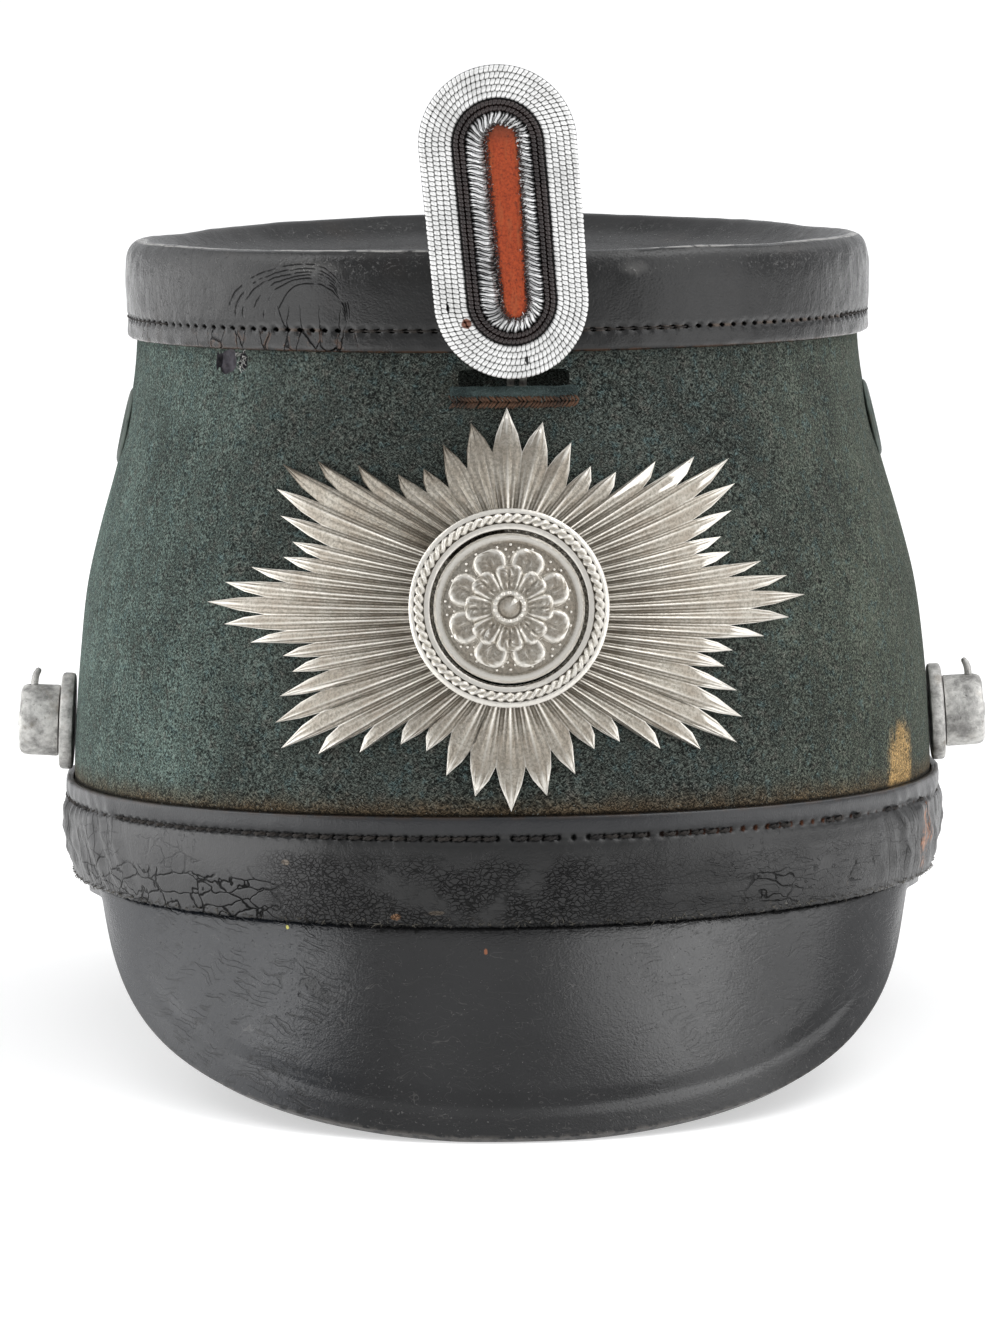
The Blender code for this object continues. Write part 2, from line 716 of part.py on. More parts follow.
def make_post(parent, side):
    """The post that a chin strap hooks on: a washer, a barrel and a small hook that stands out of it."""
    name = "right" if side > 0 else "left"
    place = body_place(side * POST_ANGLE, POST_HEIGHT, GAP)
    add_object("post_washer_" + name, turned(POST_WASHER, 24), "dull_alloy", parent, place)
    base = POST_WASHER[-1][1] + GAP
    barrel = [(radius, base + height) for radius, height in POST_BARREL]
    post = add_object("post_barrel_" + name, turned(barrel, 24), "dull_alloy", parent, place)
    top = POST_BARREL[0][0]
    hole = turned(((POST_HOLE_RADIUS, top - POST_HOLE_DEPTH), (POST_HOLE_RADIUS, top + 3)), 8)
    upright = Matrix.Translation(Vector((0, 0, base + POST_HOLE_OUT)) * MM)
    upright @= Matrix.Rotation(math.radians(-90), 4, "X")
    cut(post, add_object("post_hole_" + name, hole, "dull_alloy", parent, place @ upright))
    hook = (  # (height on the barrel, lean towards the hat)
        (top - POST_HOLE_DEPTH + GAP, 0.0),
        (top + POST_HOOK_TALL * 0.4, 0.0),
        (top + POST_HOOK_TALL * 0.7, POST_HOOK_LEAN * 0.35),
        (top + POST_HOOK_TALL, POST_HOOK_LEAN),
    )
    points = [(0.0, height, base + POST_HOLE_OUT - lean) for height, lean in hook]
    add_wire("post_prong_" + name, points, POST_HOOK_RADIUS, "dull_alloy", parent, place)


def make_worn_hole(parent, body):
    """A shallow hole that moths left in the felt."""
    pit = turned(((WORN_HOLE["radius"], -WORN_HOLE["depth"]), (WORN_HOLE["radius"], 3.0)), 8)
    place = body_place(WORN_HOLE["angle"], WORN_HOLE["height"])
    cut(body, add_object("worn_hole", pit, "felt", parent, place))


def stand_on_peaks(frame):
    """Tips the hat back so that both peaks' lowest points meet the ground, with the middle at the origin."""
    front, rear = standing_points()
    tilt = -math.atan2(rear.z - front.z, rear.y - front.y)
    turn = Matrix.Rotation(tilt, 4, "X")
    edge = peak_section(FRONT_PEAK["drop"], FRONT_PEAK["reach"], FRONT_PEAK["bulge"])[-1]
    front_tip = Vector((0, body_point(0, 0).y / MM - edge[0], edge[1]))
    ends = [(turn @ front_tip).y, (turn @ rear).y]
    lift = -(turn @ front).z
    frame.matrix_world = Matrix.Translation(Vector((0, -sum(ends) / 2, lift)) * MM) @ turn


def main():
    for old in list(bpy.data.objects):
        bpy.data.objects.remove(old)
    frame = hat_frame()
    body = make_felt_body(frame)
    make_crown_cap(frame)
    make_lower_band(frame)
    make_front_peak(frame)
    make_rear_peak(frame)
    make_plate_star(frame)
    make_plate_ring(frame)
    make_plate_boss(frame)
    make_cockade(frame)
    make_pocket(frame, body)
    for side in (-1, 1):
        make_vent(frame, body, side)
        make_post(frame, side)
    make_worn_hole(frame, body)
    stand_on_peaks(frame)
    bpy.context.view_layer.update()


main()
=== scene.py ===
from functools import reduce
from math import atan, atan2, cos, degrees, exp, hypot, pi, radians, sin, sqrt, tan, tau

import bmesh
import bpy
from mathutils import Matrix, Vector, noise


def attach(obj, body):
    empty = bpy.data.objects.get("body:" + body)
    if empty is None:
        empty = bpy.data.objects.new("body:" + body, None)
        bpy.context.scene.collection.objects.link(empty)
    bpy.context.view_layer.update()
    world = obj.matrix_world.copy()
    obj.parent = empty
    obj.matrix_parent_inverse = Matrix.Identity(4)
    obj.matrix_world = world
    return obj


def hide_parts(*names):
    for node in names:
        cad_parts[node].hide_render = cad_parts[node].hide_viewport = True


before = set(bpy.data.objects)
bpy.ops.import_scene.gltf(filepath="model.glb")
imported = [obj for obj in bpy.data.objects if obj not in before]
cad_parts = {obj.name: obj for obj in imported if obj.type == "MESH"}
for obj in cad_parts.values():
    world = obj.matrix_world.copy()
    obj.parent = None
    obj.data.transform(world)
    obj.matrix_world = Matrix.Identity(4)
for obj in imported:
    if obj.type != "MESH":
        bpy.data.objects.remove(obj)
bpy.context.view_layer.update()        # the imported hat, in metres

# Everything is modelled upright, in millimetres, in the hat's own frame: the origin is the middle of the
# foot band's lower edge, the front faces -Y and +X is the viewer's right. settle() takes a finished piece
# into the frame. Round the hat, 0 degrees is the front, 90 the viewer's right and 180 the back.

mm = 0.001

hat = {  # how the hat stands on its two peaks, in degrees and millimetres
    "tipsBack": 2.92086,
    "behind": 9.057,
    "lift": 30.945,
}
hatPlace = Matrix.Translation(Vector((0, hat["behind"], hat["lift"])) * mm)
hatPlace @= Matrix.Rotation(radians(-hat["tipsBack"]), 4, "X")
hatPlace @= Matrix.Diagonal((mm, mm, mm, 1))

felt = {  # the felt body; a section is (height, half width, half depth, middle)
    "sections": (
        (0, 85.3, 102.3, 0), (8, 86.0, 102.9, 0), (19.5, 86.3, 103.1, 0),
        (32, 85.8, 102.4, -0.2), (44, 84.8, 101.1, -0.5), (56, 83.2, 99.1, -1.0),
        (68, 80.2, 96.0, -1.6), (80, 76.9, 92.0, -2.2), (92, 74.0, 88.6, -2.7),
        (104, 72.2, 86.4, -3.0), (122, 71.8, 86.0, -3.0),
    ),
    "wall": 3.0,
    "foot": 1.0,
    "head": 116.0,
    "rebateTop": 10.8,
    "rebate": 1.9,
    "rowEvery": 2.2,
    "around": 288,
    "dents": 0.35,
    "dentSize": 26,
    "dentsFrom": (20, 32),
    "footCurve": 0.00022,
    "holes": {  # (degrees round, height, half width, half height, depth)
        "pit": (-46.3, 103.7, 3.1, 2.2, 1.2),
        "pitEdge": (-48.5, 103.7, 0.6, 1.7, 2.7),
        "nick": (-42.8, 104.1, 1.2, 1.8, 1.9),
    },
    "looseFibres": 24,
    "fibreThick": 0.08,
}


# Ways of working


def valueAt(rows, at):  # a smooth curve through rows of (place, value, value ...)
    low = next((i for i in range(len(rows) - 2, 0, -1) if rows[i][0] <= at), 0)
    before, start, end, after = (rows[min(max(low + i, 0), len(rows) - 1)] for i in (-1, 0, 1, 2))
    span = end[0] - start[0]
    t = min(max((at - start[0]) / span, 0), 1)
    values = []
    for column in range(1, len(start)):
        slopeIn = (end[column] - before[column]) / (end[0] - before[0]) * span
        slopeOut = (after[column] - start[column]) / (after[0] - start[0]) * span
        startPart = (2 * t**3 - 3 * t**2 + 1) * start[column] + (t**3 - 2 * t**2 + t) * slopeIn
        endPart = (3 * t**2 - 2 * t**3) * end[column] + (t**3 - t**2) * slopeOut
        values.append(startPart + endPart)
    return values


def smoothRows(rows, pieces):  # the same rows with more between them
    numbered = [(i, *row) for i, row in enumerate(rows)]
    return [valueAt(numbered, i / pieces) for i in range((len(rows) - 1) * pieces + 1)]


def rise(low, high, value):  # 0 below low, 1 above high
    t = min(max((value - low) / (high - low), 0), 1)
    return t * t * (3 - 2 * t)


def within(start, full, fades, gone, value):  # 1 from full to fades, 0 outside start and gone
    return rise(start, full, value) * (1 - rise(fades, gone, value))


def near(value, middle, width):  # 1 at the middle, fading over the width
    return exp(-(((value - middle) / width) ** 2))


def wave(x, y, z):  # smooth noise, the same on each run
    return noise.noise(Vector((x, y, z)))


def shake(x, y, z):
    return noise.noise_vector(Vector((x, y, z)))


def lumps(point, rows):  # rows of (size, amount)
    return sum(noise.noise(point / size) * amount for size, amount in rows)


def pushes(point, rows):
    return sum((noise.noise_vector(point / size) * amount for size, amount in rows), Vector())


def feltPoint(angle, height, outside=0.0):
    halfWidth, halfDepth, middle = valueAt(felt["sections"], height)
    sine, cosine = sin(radians(angle)), cos(radians(angle))
    out = Vector((sine / halfWidth, -cosine / halfDepth, 0)).normalized()
    return Vector((halfWidth * sine, middle - halfDepth * cosine, height)) + out * outside


def feltPlace(angle, height, outside=0.0):  # Z leads straight out of the felt, and Y up along it
    up = (feltPoint(angle, height + 1) - feltPoint(angle, height - 1)).normalized()
    along = (feltPoint(angle + 1, height) - feltPoint(angle - 1, height)).normalized()
    out = along.cross(up).normalized()
    axes = Matrix((up.cross(out), up, out)).transposed().to_4x4()
    return Matrix.Translation(feltPoint(angle, height) + out * outside) @ axes


def angleAlong(distance, height):  # where a distance along the felt from the front's middle ends
    halfWidth, halfDepth, _ = valueAt(felt["sections"], height)
    steps, angle = 24, 0.0
    for _ in range(steps):
        angle += distance / steps / hypot(halfWidth * cos(angle), halfDepth * sin(angle))
    return degrees(angle)


def aroundAt(point, oval=None):  # the angle round the hat, and the way out of the felt, at a point
    halfWidth, halfDepth, middle = oval or valueAt(felt["sections"], point.z)
    angle = degrees(atan2(point.x / halfWidth, (middle - point.y) / halfDepth))
    return angle, Vector((point.x / halfWidth**2, (point.y - middle) / halfDepth**2, 0)).normalized()


def startPiece(name, add, **size):
    bpy.ops.object.select_all(action="DESELECT")
    add(**size)
    bpy.ops.object.transform_apply(location=True, rotation=True, scale=True)
    piece = bpy.context.object
    piece.name = piece.data.name = name
    return piece


def startGrid(name, columns, rows, size=2):
    add = bpy.ops.mesh.primitive_grid_add
    return startPiece(name, add, x_subdivisions=columns, y_subdivisions=rows, size=size)


def startBall(name, finer, radius=1, place=(0, 0, 0)):
    add = bpy.ops.mesh.primitive_ico_sphere_add
    return startPiece(name, add, subdivisions=finer, radius=radius, location=place)


def choose(piece):  # selects this piece alone
    bpy.ops.object.select_all(action="DESELECT")
    piece.select_set(True)
    bpy.context.view_layer.objects.active = piece


def startEdit(piece):
    choose(piece)
    bpy.ops.object.mode_set(mode="EDIT")
    bpy.ops.mesh.select_mode(type="VERT")
    bpy.ops.mesh.select_all(action="SELECT")


def endEdit():
    bpy.ops.object.mode_set(mode="OBJECT")


def pick(test):  # in edit mode: selects the vertices that pass
    bpy.ops.mesh.select_all(action="DESELECT")
    mesh = bmesh.from_edit_mesh(bpy.context.object.data)
    for vertex in mesh.verts:
        vertex.select_set(test(vertex.co))
    mesh.select_flush_mode()
    bmesh.update_edit_mesh(bpy.context.object.data)


def closeUp(piece, gap=0.001):  # merges doubles and turns the faces outwards
    startEdit(piece)
    bpy.ops.mesh.remove_doubles(threshold=gap)
    bpy.ops.mesh.select_all(action="SELECT")
    bpy.ops.mesh.normals_make_consistent(inside=False)
    endEdit()
    return piece


def raiseRings(name, rings, columns, closed=False):  # a ring is (height, half width, half depth, middle)
    least = 0.0004
    rings = [(height, max(width, least), max(depth, least), middle) for height, width, depth, middle in rings]
    piece = startPiece(name, bpy.ops.mesh.primitive_circle_add, vertices=columns, radius=1)
    startEdit(piece)
    height, width, depth, middle = rings[0]
    bpy.ops.transform.resize(value=(width, depth, 1), center_override=(0, 0, 0))
    bpy.ops.transform.translate(value=(0, middle, height))
    for before, ring in zip(rings, rings[1:] + rings[:1] * closed):
        lift = (0, ring[3] - before[3], ring[0] - before[0])
        bpy.ops.mesh.extrude_region_move(TRANSFORM_OT_translate={"value": lift})
        grow = (ring[1] / before[1], ring[2] / before[2], 1)
        bpy.ops.transform.resize(value=grow, center_override=(0, ring[3], ring[0]))
    endEdit()
    return closeUp(piece)


def turnRings(name, profile, columns, closed=False):  # a turned piece; its profile is (radius, height)
    return raiseRings(name, [(height, radius, radius, 0) for radius, height in profile], columns, closed)


def shapeBy(piece, move):  # moves each point one by one, as a sculptor would
    for vertex in piece.data.vertices:
        vertex.co = move(vertex.co.copy())
    piece.data.update()
    return piece


def addStep(piece, kind, **settings):
    step = piece.modifiers.new(kind.lower(), kind)
    for name, value in settings.items():
        setattr(step, name, value)
    choose(piece)
    bpy.ops.object.modifier_apply(modifier=step.name)
    return piece


def cutWith(piece, cutter):
    addStep(piece, "BOOLEAN", operation="DIFFERENCE", solver="EXACT", object=cutter, material_mode="TRANSFER")
    bpy.data.objects.remove(cutter)


def joinAll(name, pieces):
    bpy.ops.object.select_all(action="DESELECT")
    for piece in pieces:
        piece.select_set(True)
    bpy.context.view_layer.objects.active = pieces[0]
    bpy.ops.object.join()
    pieces[0].name = pieces[0].data.name = name
    return pieces[0]


def wires(name, lines, radius, sides=2):  # round wires along lines of (point, share of the radius)
    curve = bpy.data.curves.new(name, "CURVE")
    curve.dimensions = "3D"
    curve.bevel_depth = radius
    curve.bevel_resolution = sides
    curve.use_fill_caps = True
    for line in lines:
        spline = curve.splines.new("POLY")
        spline.points.add(len(line) - 1)
        for target, (point, share) in zip(spline.points, line):
            target.co = (*point, 1)
            target.radius = share
    piece = bpy.data.objects.new(name, curve)
    bpy.context.scene.collection.objects.link(piece)
    choose(piece)
    bpy.ops.object.convert(target="MESH")
    return bpy.context.object


def settle(piece, finish, slot, *nodes, place=None, smooth=35):  # takes a finished piece into the frame
    if place is not None:
        piece.data.transform(place)
    piece.data.transform(hatPlace)
    if not any(piece.data.materials):
        piece.data.materials.clear()
        piece.data.materials.append(finish)
    choose(piece)
    bpy.ops.object.shade_smooth_by_angle(angle=radians(smooth))
    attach(piece, "root")
    if nodes:
        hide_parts(*nodes)
    return piece


# Shader maths


def feed(tree, entry, value):  # a link, a colour or a plain value into a node
    if isinstance(value, Socket):
        tree.links.new(value.output, entry)
    elif isinstance(value, tuple) and entry.type == "RGBA":
        entry.default_value = (*value, 1)
    else:
        entry.default_value = value


class Socket:  # an output in a material; arithmetic on it adds Math nodes
    def __init__(self, tree, output=None):
        self.tree = tree
        self.output = output

    def node(self, kind, settings, inputs, output=0):
        made = self.tree.nodes.new(kind)
        for name, value in settings.items():
            if name == "stops":
                ramp = made.color_ramp.elements
                while len(ramp) < len(value):
                    ramp.new(0.5)
                for stop, (place, colour) in zip(ramp, value):
                    stop.position = place
                    stop.color = (*colour, 1)
            else:
                setattr(made, name, value)
        for name, value in inputs.items():
            feed(self.tree, made.inputs[name], value)
        return Socket(self.tree, made.outputs[output])

    def maths(self, operation, *values, clamp=False):
        settings = {"operation": operation, "use_clamp": clamp}
        return self.node("ShaderNodeMath", settings, dict(enumerate(values)))

    def __add__(self, other):
        return self.maths("ADD", self, other)

    def __sub__(self, other):
        return self.maths("SUBTRACT", self, other)

    def __mul__(self, other):
        return self.maths("MULTIPLY", self, other)

    def __truediv__(self, other):
        return self.maths("DIVIDE", self, other)

    def __pow__(self, other):
        return self.maths("POWER", self, other)

    def __rsub__(self, other):
        return self.maths("SUBTRACT", other, self)

    __radd__ = __add__
    __rmul__ = __mul__


def startFinish(name):  # a new material, and the point of the upright hat in millimetres
    finish = bpy.data.materials.new(name)
    finish.use_nodes = True
    coordinates = Socket(finish.node_tree).node("ShaderNodeTexCoord", {}, {}, "Object")
    settled = {
        "Vector": coordinates,
        "Location": (0, hat["behind"] * mm, hat["lift"] * mm),
        "Rotation": (radians(-hat["tipsBack"]), 0, 0),
        "Scale": (mm, mm, mm),
    }
    return finish, coordinates.node("ShaderNodeMapping", {"vector_type": "TEXTURE"}, settled)


def endFinish(finish, values, height=None):  # the height is in millimetres
    shader = finish.node_tree.nodes["Principled BSDF"]
    if height is not None:
        bump = height.node("ShaderNodeBump", {}, {"Height": height, "Distance": mm, "Strength": 1.0})
        values = {**values, "Normal": bump}
    for name, value in values.items():
        feed(finish.node_tree, shader.inputs[name], value)
    return finish


def parts(point):
    return [point.node("ShaderNodeSeparateXYZ", {}, {0: point}, i) for i in range(3)]


def vectorMaths(operation, first, second):
    return first.node("ShaderNodeVectorMath", {"operation": operation}, {0: first, 1: second})


def lengthOf(vector):
    return vector.node("ShaderNodeVectorMath", {"operation": "LENGTH"}, {0: vector}, "Value")


def scaled(vector, amount):
    return vector.node("ShaderNodeVectorMath", {"operation": "SCALE"}, {0: vector, "Scale": amount})


def stretched(point, sizes):  # a longer pattern the larger its size
    return vectorMaths("DIVIDE", point, sizes)


def moved(point, offset):
    return vectorMaths("ADD", point, offset)


def warped(point, size, amount):  # pushes a pattern about
    push = point.node("ShaderNodeTexNoise", {}, {"Vector": point, "Scale": 1 / size, "Detail": 2}, "Color")
    return vectorMaths("ADD", point, scaled(vectorMaths("SUBTRACT", push, (0.5, 0.5, 0.5)), amount))


def grain(point, size, detail=2.0, roughness=0.5):
    inputs = {"Vector": point, "Scale": 1 / size, "Detail": detail, "Roughness": roughness}
    return point.node("ShaderNodeTexNoise", {}, inputs)


def cells(point, size, feature="F1"):
    inputs = {"Vector": point, "Scale": 1 / size}
    return point.node("ShaderNodeTexVoronoi", {"feature": feature}, inputs, "Distance")


def cellEdges(point):  # the distance to the edges of cells of size 1
    return cells(point, 1.0, "DISTANCE_TO_EDGE")


def over(low, high, value):  # rise(), for a material
    inputs = {"Value": value, "From Min": low, "From Max": high}
    return value.node("ShaderNodeMapRange", {"interpolation_type": "SMOOTHSTEP"}, inputs)


def under(low, high, value):  # 1 below low, 0 above high
    return 1 - over(low, high, value)


def between(start, full, fades, gone, value):  # within(), for a material
    return over(start, full, value) * under(fades, gone, value)


def around(middle, width, value):  # 1 at the middle, 0 a width away
    return under(0.0, width, unsigned(value - middle))


def spot(point, middle, size):  # 1 in the middle of an ellipsoid, 0 at its surface
    return under(0.0, 1.0, lengthOf(stretched(moved(point, tuple(-x for x in middle)), size)))


def mixed(amount, low, high):
    maker = next(value for value in (amount, low, high) if isinstance(value, Socket))
    return maker.node("ShaderNodeMix", {"data_type": "RGBA"}, {0: amount, 6: low, 7: high}, 2)


def joined(x, y, z):
    return x.node("ShaderNodeCombineXYZ", {}, {0: x, 1: y, 2: z})


def roundTheHat(x, y, radius):  # how far round from the front's middle, in millimetres
    return x.maths("ARCTAN2", x, -3.0 - y) * radius


def overFoot(x, z):  # the height over the foot's edge, which dips towards the sides
    return z + x * x * felt["footCurve"]


def unsigned(value):
    return value.maths("ABSOLUTE", value)


def most(first, second):
    return first.maths("MAXIMUM", first, second)


def attribute(point, name):
    return point.node("ShaderNodeAttribute", {"attribute_name": name}, {}, "Fac")


def marked(point, colour, marks):  # small stains: (x, z, half width, half height, colour), on the front
    for x, z, wide, tall, stain in marks:
        place = spot(warped(point, 1.0, 0.7), (x, -90.0, z), (wide, 60.0, tall))
        colour = mixed(over(0.2, 0.5, place), colour, stain)
    return colour


# Finishes


def feltFinish(look):
    finish, point = startFinish("green_felt")
    x, y, z = parts(point)
    across = roundTheHat(x, y, 86.0)
    soft = warped(point, 2.2, 0.8)
    push = grain(point, 0.9, 1.0) * 0.7
    thick, long = look["fibre"]
    rising, falling = (across + z) * 0.707 + push, (across - z) * 0.707 + push
    wool = grain(joined(rising / long, y / 9.0, falling / thick), 1.0, 1.0, 0.6)
    wool = most(wool, grain(joined(rising / thick, y / 9.0 + 5.0, falling / long), 1.0, 1.0, 0.6))
    clumps = grain(moved(soft, (3, 5, 7)), 1.3, 2.0, 0.6)
    patches = grain(point, 20.0, 3.0, 0.55)
    tone = wool + clumps * 0.10 + patches * 0.14 - 0.12
    shade = over(0.44, 0.60, tone) * 0.95 + over(0.56, 0.74, tone) * 1.8 + 0.18
    # painted light: the felt's left side is lighter and tealer, the right side and the middle darker,
    # standing in for the side light and its sheen
    side = over(30.0, 86.0, unsigned(x) + patches * 30.0 - 15.0)
    tint = mixed(side, look["middle"], mixed(over(-20.0, 20.0, x), look["left"], look["right"]))
    hue = grain(moved(point, (6, 2, 2)), 2.2, 3.0, 0.65)
    tint = mixed(over(0.54, 0.68, hue) * 0.48, tint, look["worn"])
    tint = mixed(under(0.34, 0.46, hue) * 0.45, tint, look["blue"])
    rubbed = under(18.6, 25.0, overFoot(x, z) + grain(point, 3.5, 3.0) * 4.0 - 2.0)
    tint = mixed(rubbed * 0.9, tint, look["rubbed"])
    # darker felt round the pocket, under the cockade
    worn = spot(warped(point, 3.0, 4.0), *look["pocketDarker"])
    tint = mixed(over(0.1, 0.6, worn) * 0.5, tint, look["pocket"])
    streaks = grain(stretched(warped(point, 2.0, 1.0), (1.0, 2.0, 6.0)), 1.5, 3.0, 0.6)
    stain = spot(warped(joined(x * 1.5, y, z), 3.0, 4.0), *look["stainAt"])
    stained = over(0.03, 0.45, stain) * over(0.36, 0.56, streaks * 0.6 + clumps * 0.4 + stain * 0.25)
    tint = mixed(stained * 0.85, tint, look["stain"])
    colour = scaled(tint, shade + rubbed * 0.1 + stained * 0.3)
    # painted shadow: a near-black line where the felt meets the top of the band
    gap = under(19.8, 20.5, overFoot(x, z) + clumps * 0.5 - 0.25)
    colour = mixed(gap * 0.85, colour, look["gap"])
    fleck = over(0.69, 0.75, grain(moved(soft, (9, 1, 4)), 0.42, 1.0, 0.5))
    colour = mixed(fleck * 0.6, colour, look["fleck"])
    height = wool * 0.22 + clumps * 0.12
    values = {
        "Base Color": colour,
        "Roughness": 0.95,
        "Specular IOR Level": 0.1,
        "Sheen Weight": 0.04,
        "Sheen Roughness": 0.5,
        "Sheen Tint": (0.75, 0.85, 0.8),
    }
    return endFinish(finish, values, height)


def cardFinish(look):  # the stiff card under the felt, seen inside the hat and in the worn places
    finish, point = startFinish("stiff_card")
    pulp = grain(point, 1.4, 4.0, 0.65)
    colour = mixed(over(0.3, 0.7, pulp), look["dark"], look["light"])
    fibres = over(0.60, 0.66, grain(stretched(warped(point, 2.0, 1.5), (0.6, 0.6, 3.0)), 0.8, 3.0, 0.7))
    colour = mixed(fibres * 0.4, colour, look["fibre"])
    return endFinish(finish, {"Base Color": colour, "Roughness": 0.9}, pulp * 0.12 + fibres * 0.1)


def archLine(x, z, look, arch):  # a crease arched over a place, wider on its left than its right
    left, right, tall = arch
    middleX, middleZ = look["archMiddle"]
    wide = most((x - middleX) / right, (x - middleX) / -left)
    reach = (wide ** 2 + ((z - middleZ) / tall) ** 2) ** 0.5
    return around(1.0, look["creaseWidth"] / tall, reach)


def crownFinish(look):
    finish, point = startFinish("crown_leather")
    x, y, z = parts(point)
    leather = grain(point, 1.1, 4.0, 0.6)
    fine = grain(moved(point, (4, 1, 1)), 0.32, 2.0, 0.6)
    pores = cells(point, 0.55)
    patches = grain(point, 14.0, 3.0, 0.6)
    colour = mixed(over(0.3, 0.7, patches), look["dark"], look["light"])
    brown = over(0.52, 0.75, grain(moved(point, (9, 0, 0)), 18.0, 3.0, 0.6))
    colour = mixed(brown * 0.4, colour, look["brown"])
    scratch = grain(stretched(warped(point, 2.0, 2.2), (1.3, 1.3, 0.8)), 0.8, 4.0, 0.75)
    rubbed = around(123.0, 4.0, z + patches * 6.0 - 3.0) * 0.45
    rubbed = most(rubbed, over(60.0, 70.0, x) * over(108.0, 112.0, z) * 0.45)
    haze = 0.0
    for place in look["scuffs"]:
        scuffed = spot(warped(point, 2.0, 2.0), *place)
        rubbed = most(rubbed, scuffed * 1.3)
        haze = scuffed + haze
    scuffs = over(0.56, 0.67, scratch) * rubbed
    colour = mixed(scuffs * 0.62 + haze * 0.22, colour, look["scuff"])
    # painted highlight: a thin whitish line along the roll of the rim, on its near half only
    rim = around(125.35, 0.26, z + grain(point, 5.0, 3.0) * 0.4 - 0.2)
    rim = rim * over(0.32, 0.5, grain(point, 2.0, 3.0))
    colour = mixed(rim * under(-10.0, 10.0, y) * 0.75, colour, look["rim"])
    edge = under(106.2, 106.9, z) * over(0.35, 0.6, grain(point, 2.5, 3.0))
    colour = mixed(edge * 0.8, colour, look["edge"])
    # arched creases on the front left, cracks inside them, and splits that run down from the stitches
    front = under(-40.0, -20.0, y)
    pushed = warped(point, 3.5, 0.9)
    pushedX, _, pushedZ = parts(pushed)
    arches = reduce(most, [archLine(pushedX, pushedZ, look, arch) for arch in look["arches"]])
    broken = over(0.40, 0.52, grain(moved(point, (4, 4, 4)), 3.0, 2.0))
    arches = arches * front * over(112.0, 113.5, z) * broken
    cracking = cellEdges(stretched(warped(point, 2.0, 0.9), (3.6, 3.6, 12.0)))
    lines = under(0.0, 0.042, cracking) * front
    inArches = between(-43.0, -41.5, -30.0, -28.5, x) * under(113.5, 115.5, z)
    low = under(109.4, 110.2, z)
    splitArea = between(-60.0, -56.0, -29.0, -26.0, x) * low
    splitArea = most(splitArea, low * over(0.60, 0.66, patches))
    splits = lines * most(inArches * 0.8, splitArea)
    bare = grain(moved(point, (1, 8, 1)), 1.6, 2.0)
    wideSplits = under(0.03, 0.12, cracking) * front * splitArea * over(0.48, 0.56, bare)
    colour = mixed(wideSplits * 0.8, colour, look["edge"])
    # painted shade: the creases and cracks are near-black and metallic, so that they reflect nothing, as if
    # deep
    dark = most(arches, splits)
    colour = mixed(dark * 0.97, colour, look["crackShade"])
    seam = around(crown["stitchHeight"], 0.5, z) * over(0.4, 0.6, grain(point, 5.0, 2.0))
    seam = seam * over(-52.0, -44.0, x) * front
    colour = mixed(seam * 0.6, colour, look["thread"])
    # painted shade: the empty stitch holes are near-black and metallic, so that they reflect nothing
    holes = over(0.25, 0.5, attribute(point, "hole"))
    colour = mixed(holes, colour, look["hole"])
    sideways = unsigned(x)
    dull = under(12.0, 32.0, sideways) * front
    ends = over(45.0, 66.0, sideways) * under(30.0, 60.0, y)
    wrinkles = grain(stretched(warped(point, 3.0, 2.0), (1.0, 1.0, 1.3)), 2.4, 4.0, 0.62) * ends
    pitted = over(0.60, 0.68, grain(moved(point, (7, 7, 1)), 1.1, 3.0, 0.7)) * (ends * 0.8 + 0.2)
    height = leather * 0.05 - pores * 0.03 - arches * 0.2 - splits * 0.35 - scuffs * 0.10 + wrinkles * 0.35
    height = height + fine * 0.045 - pitted * 0.12
    values = {
        "Base Color": colour,
        "Roughness": leather * 0.08 + scuffs * 0.2 + dull * 0.14 + 0.15,
        # metallic where shade is painted, so the creases, cracks and holes reflect nothing
        "Metallic": most(dark * 0.9, holes),
        "Specular IOR Level": look["gloss"],
    }
    return endFinish(finish, values, height)


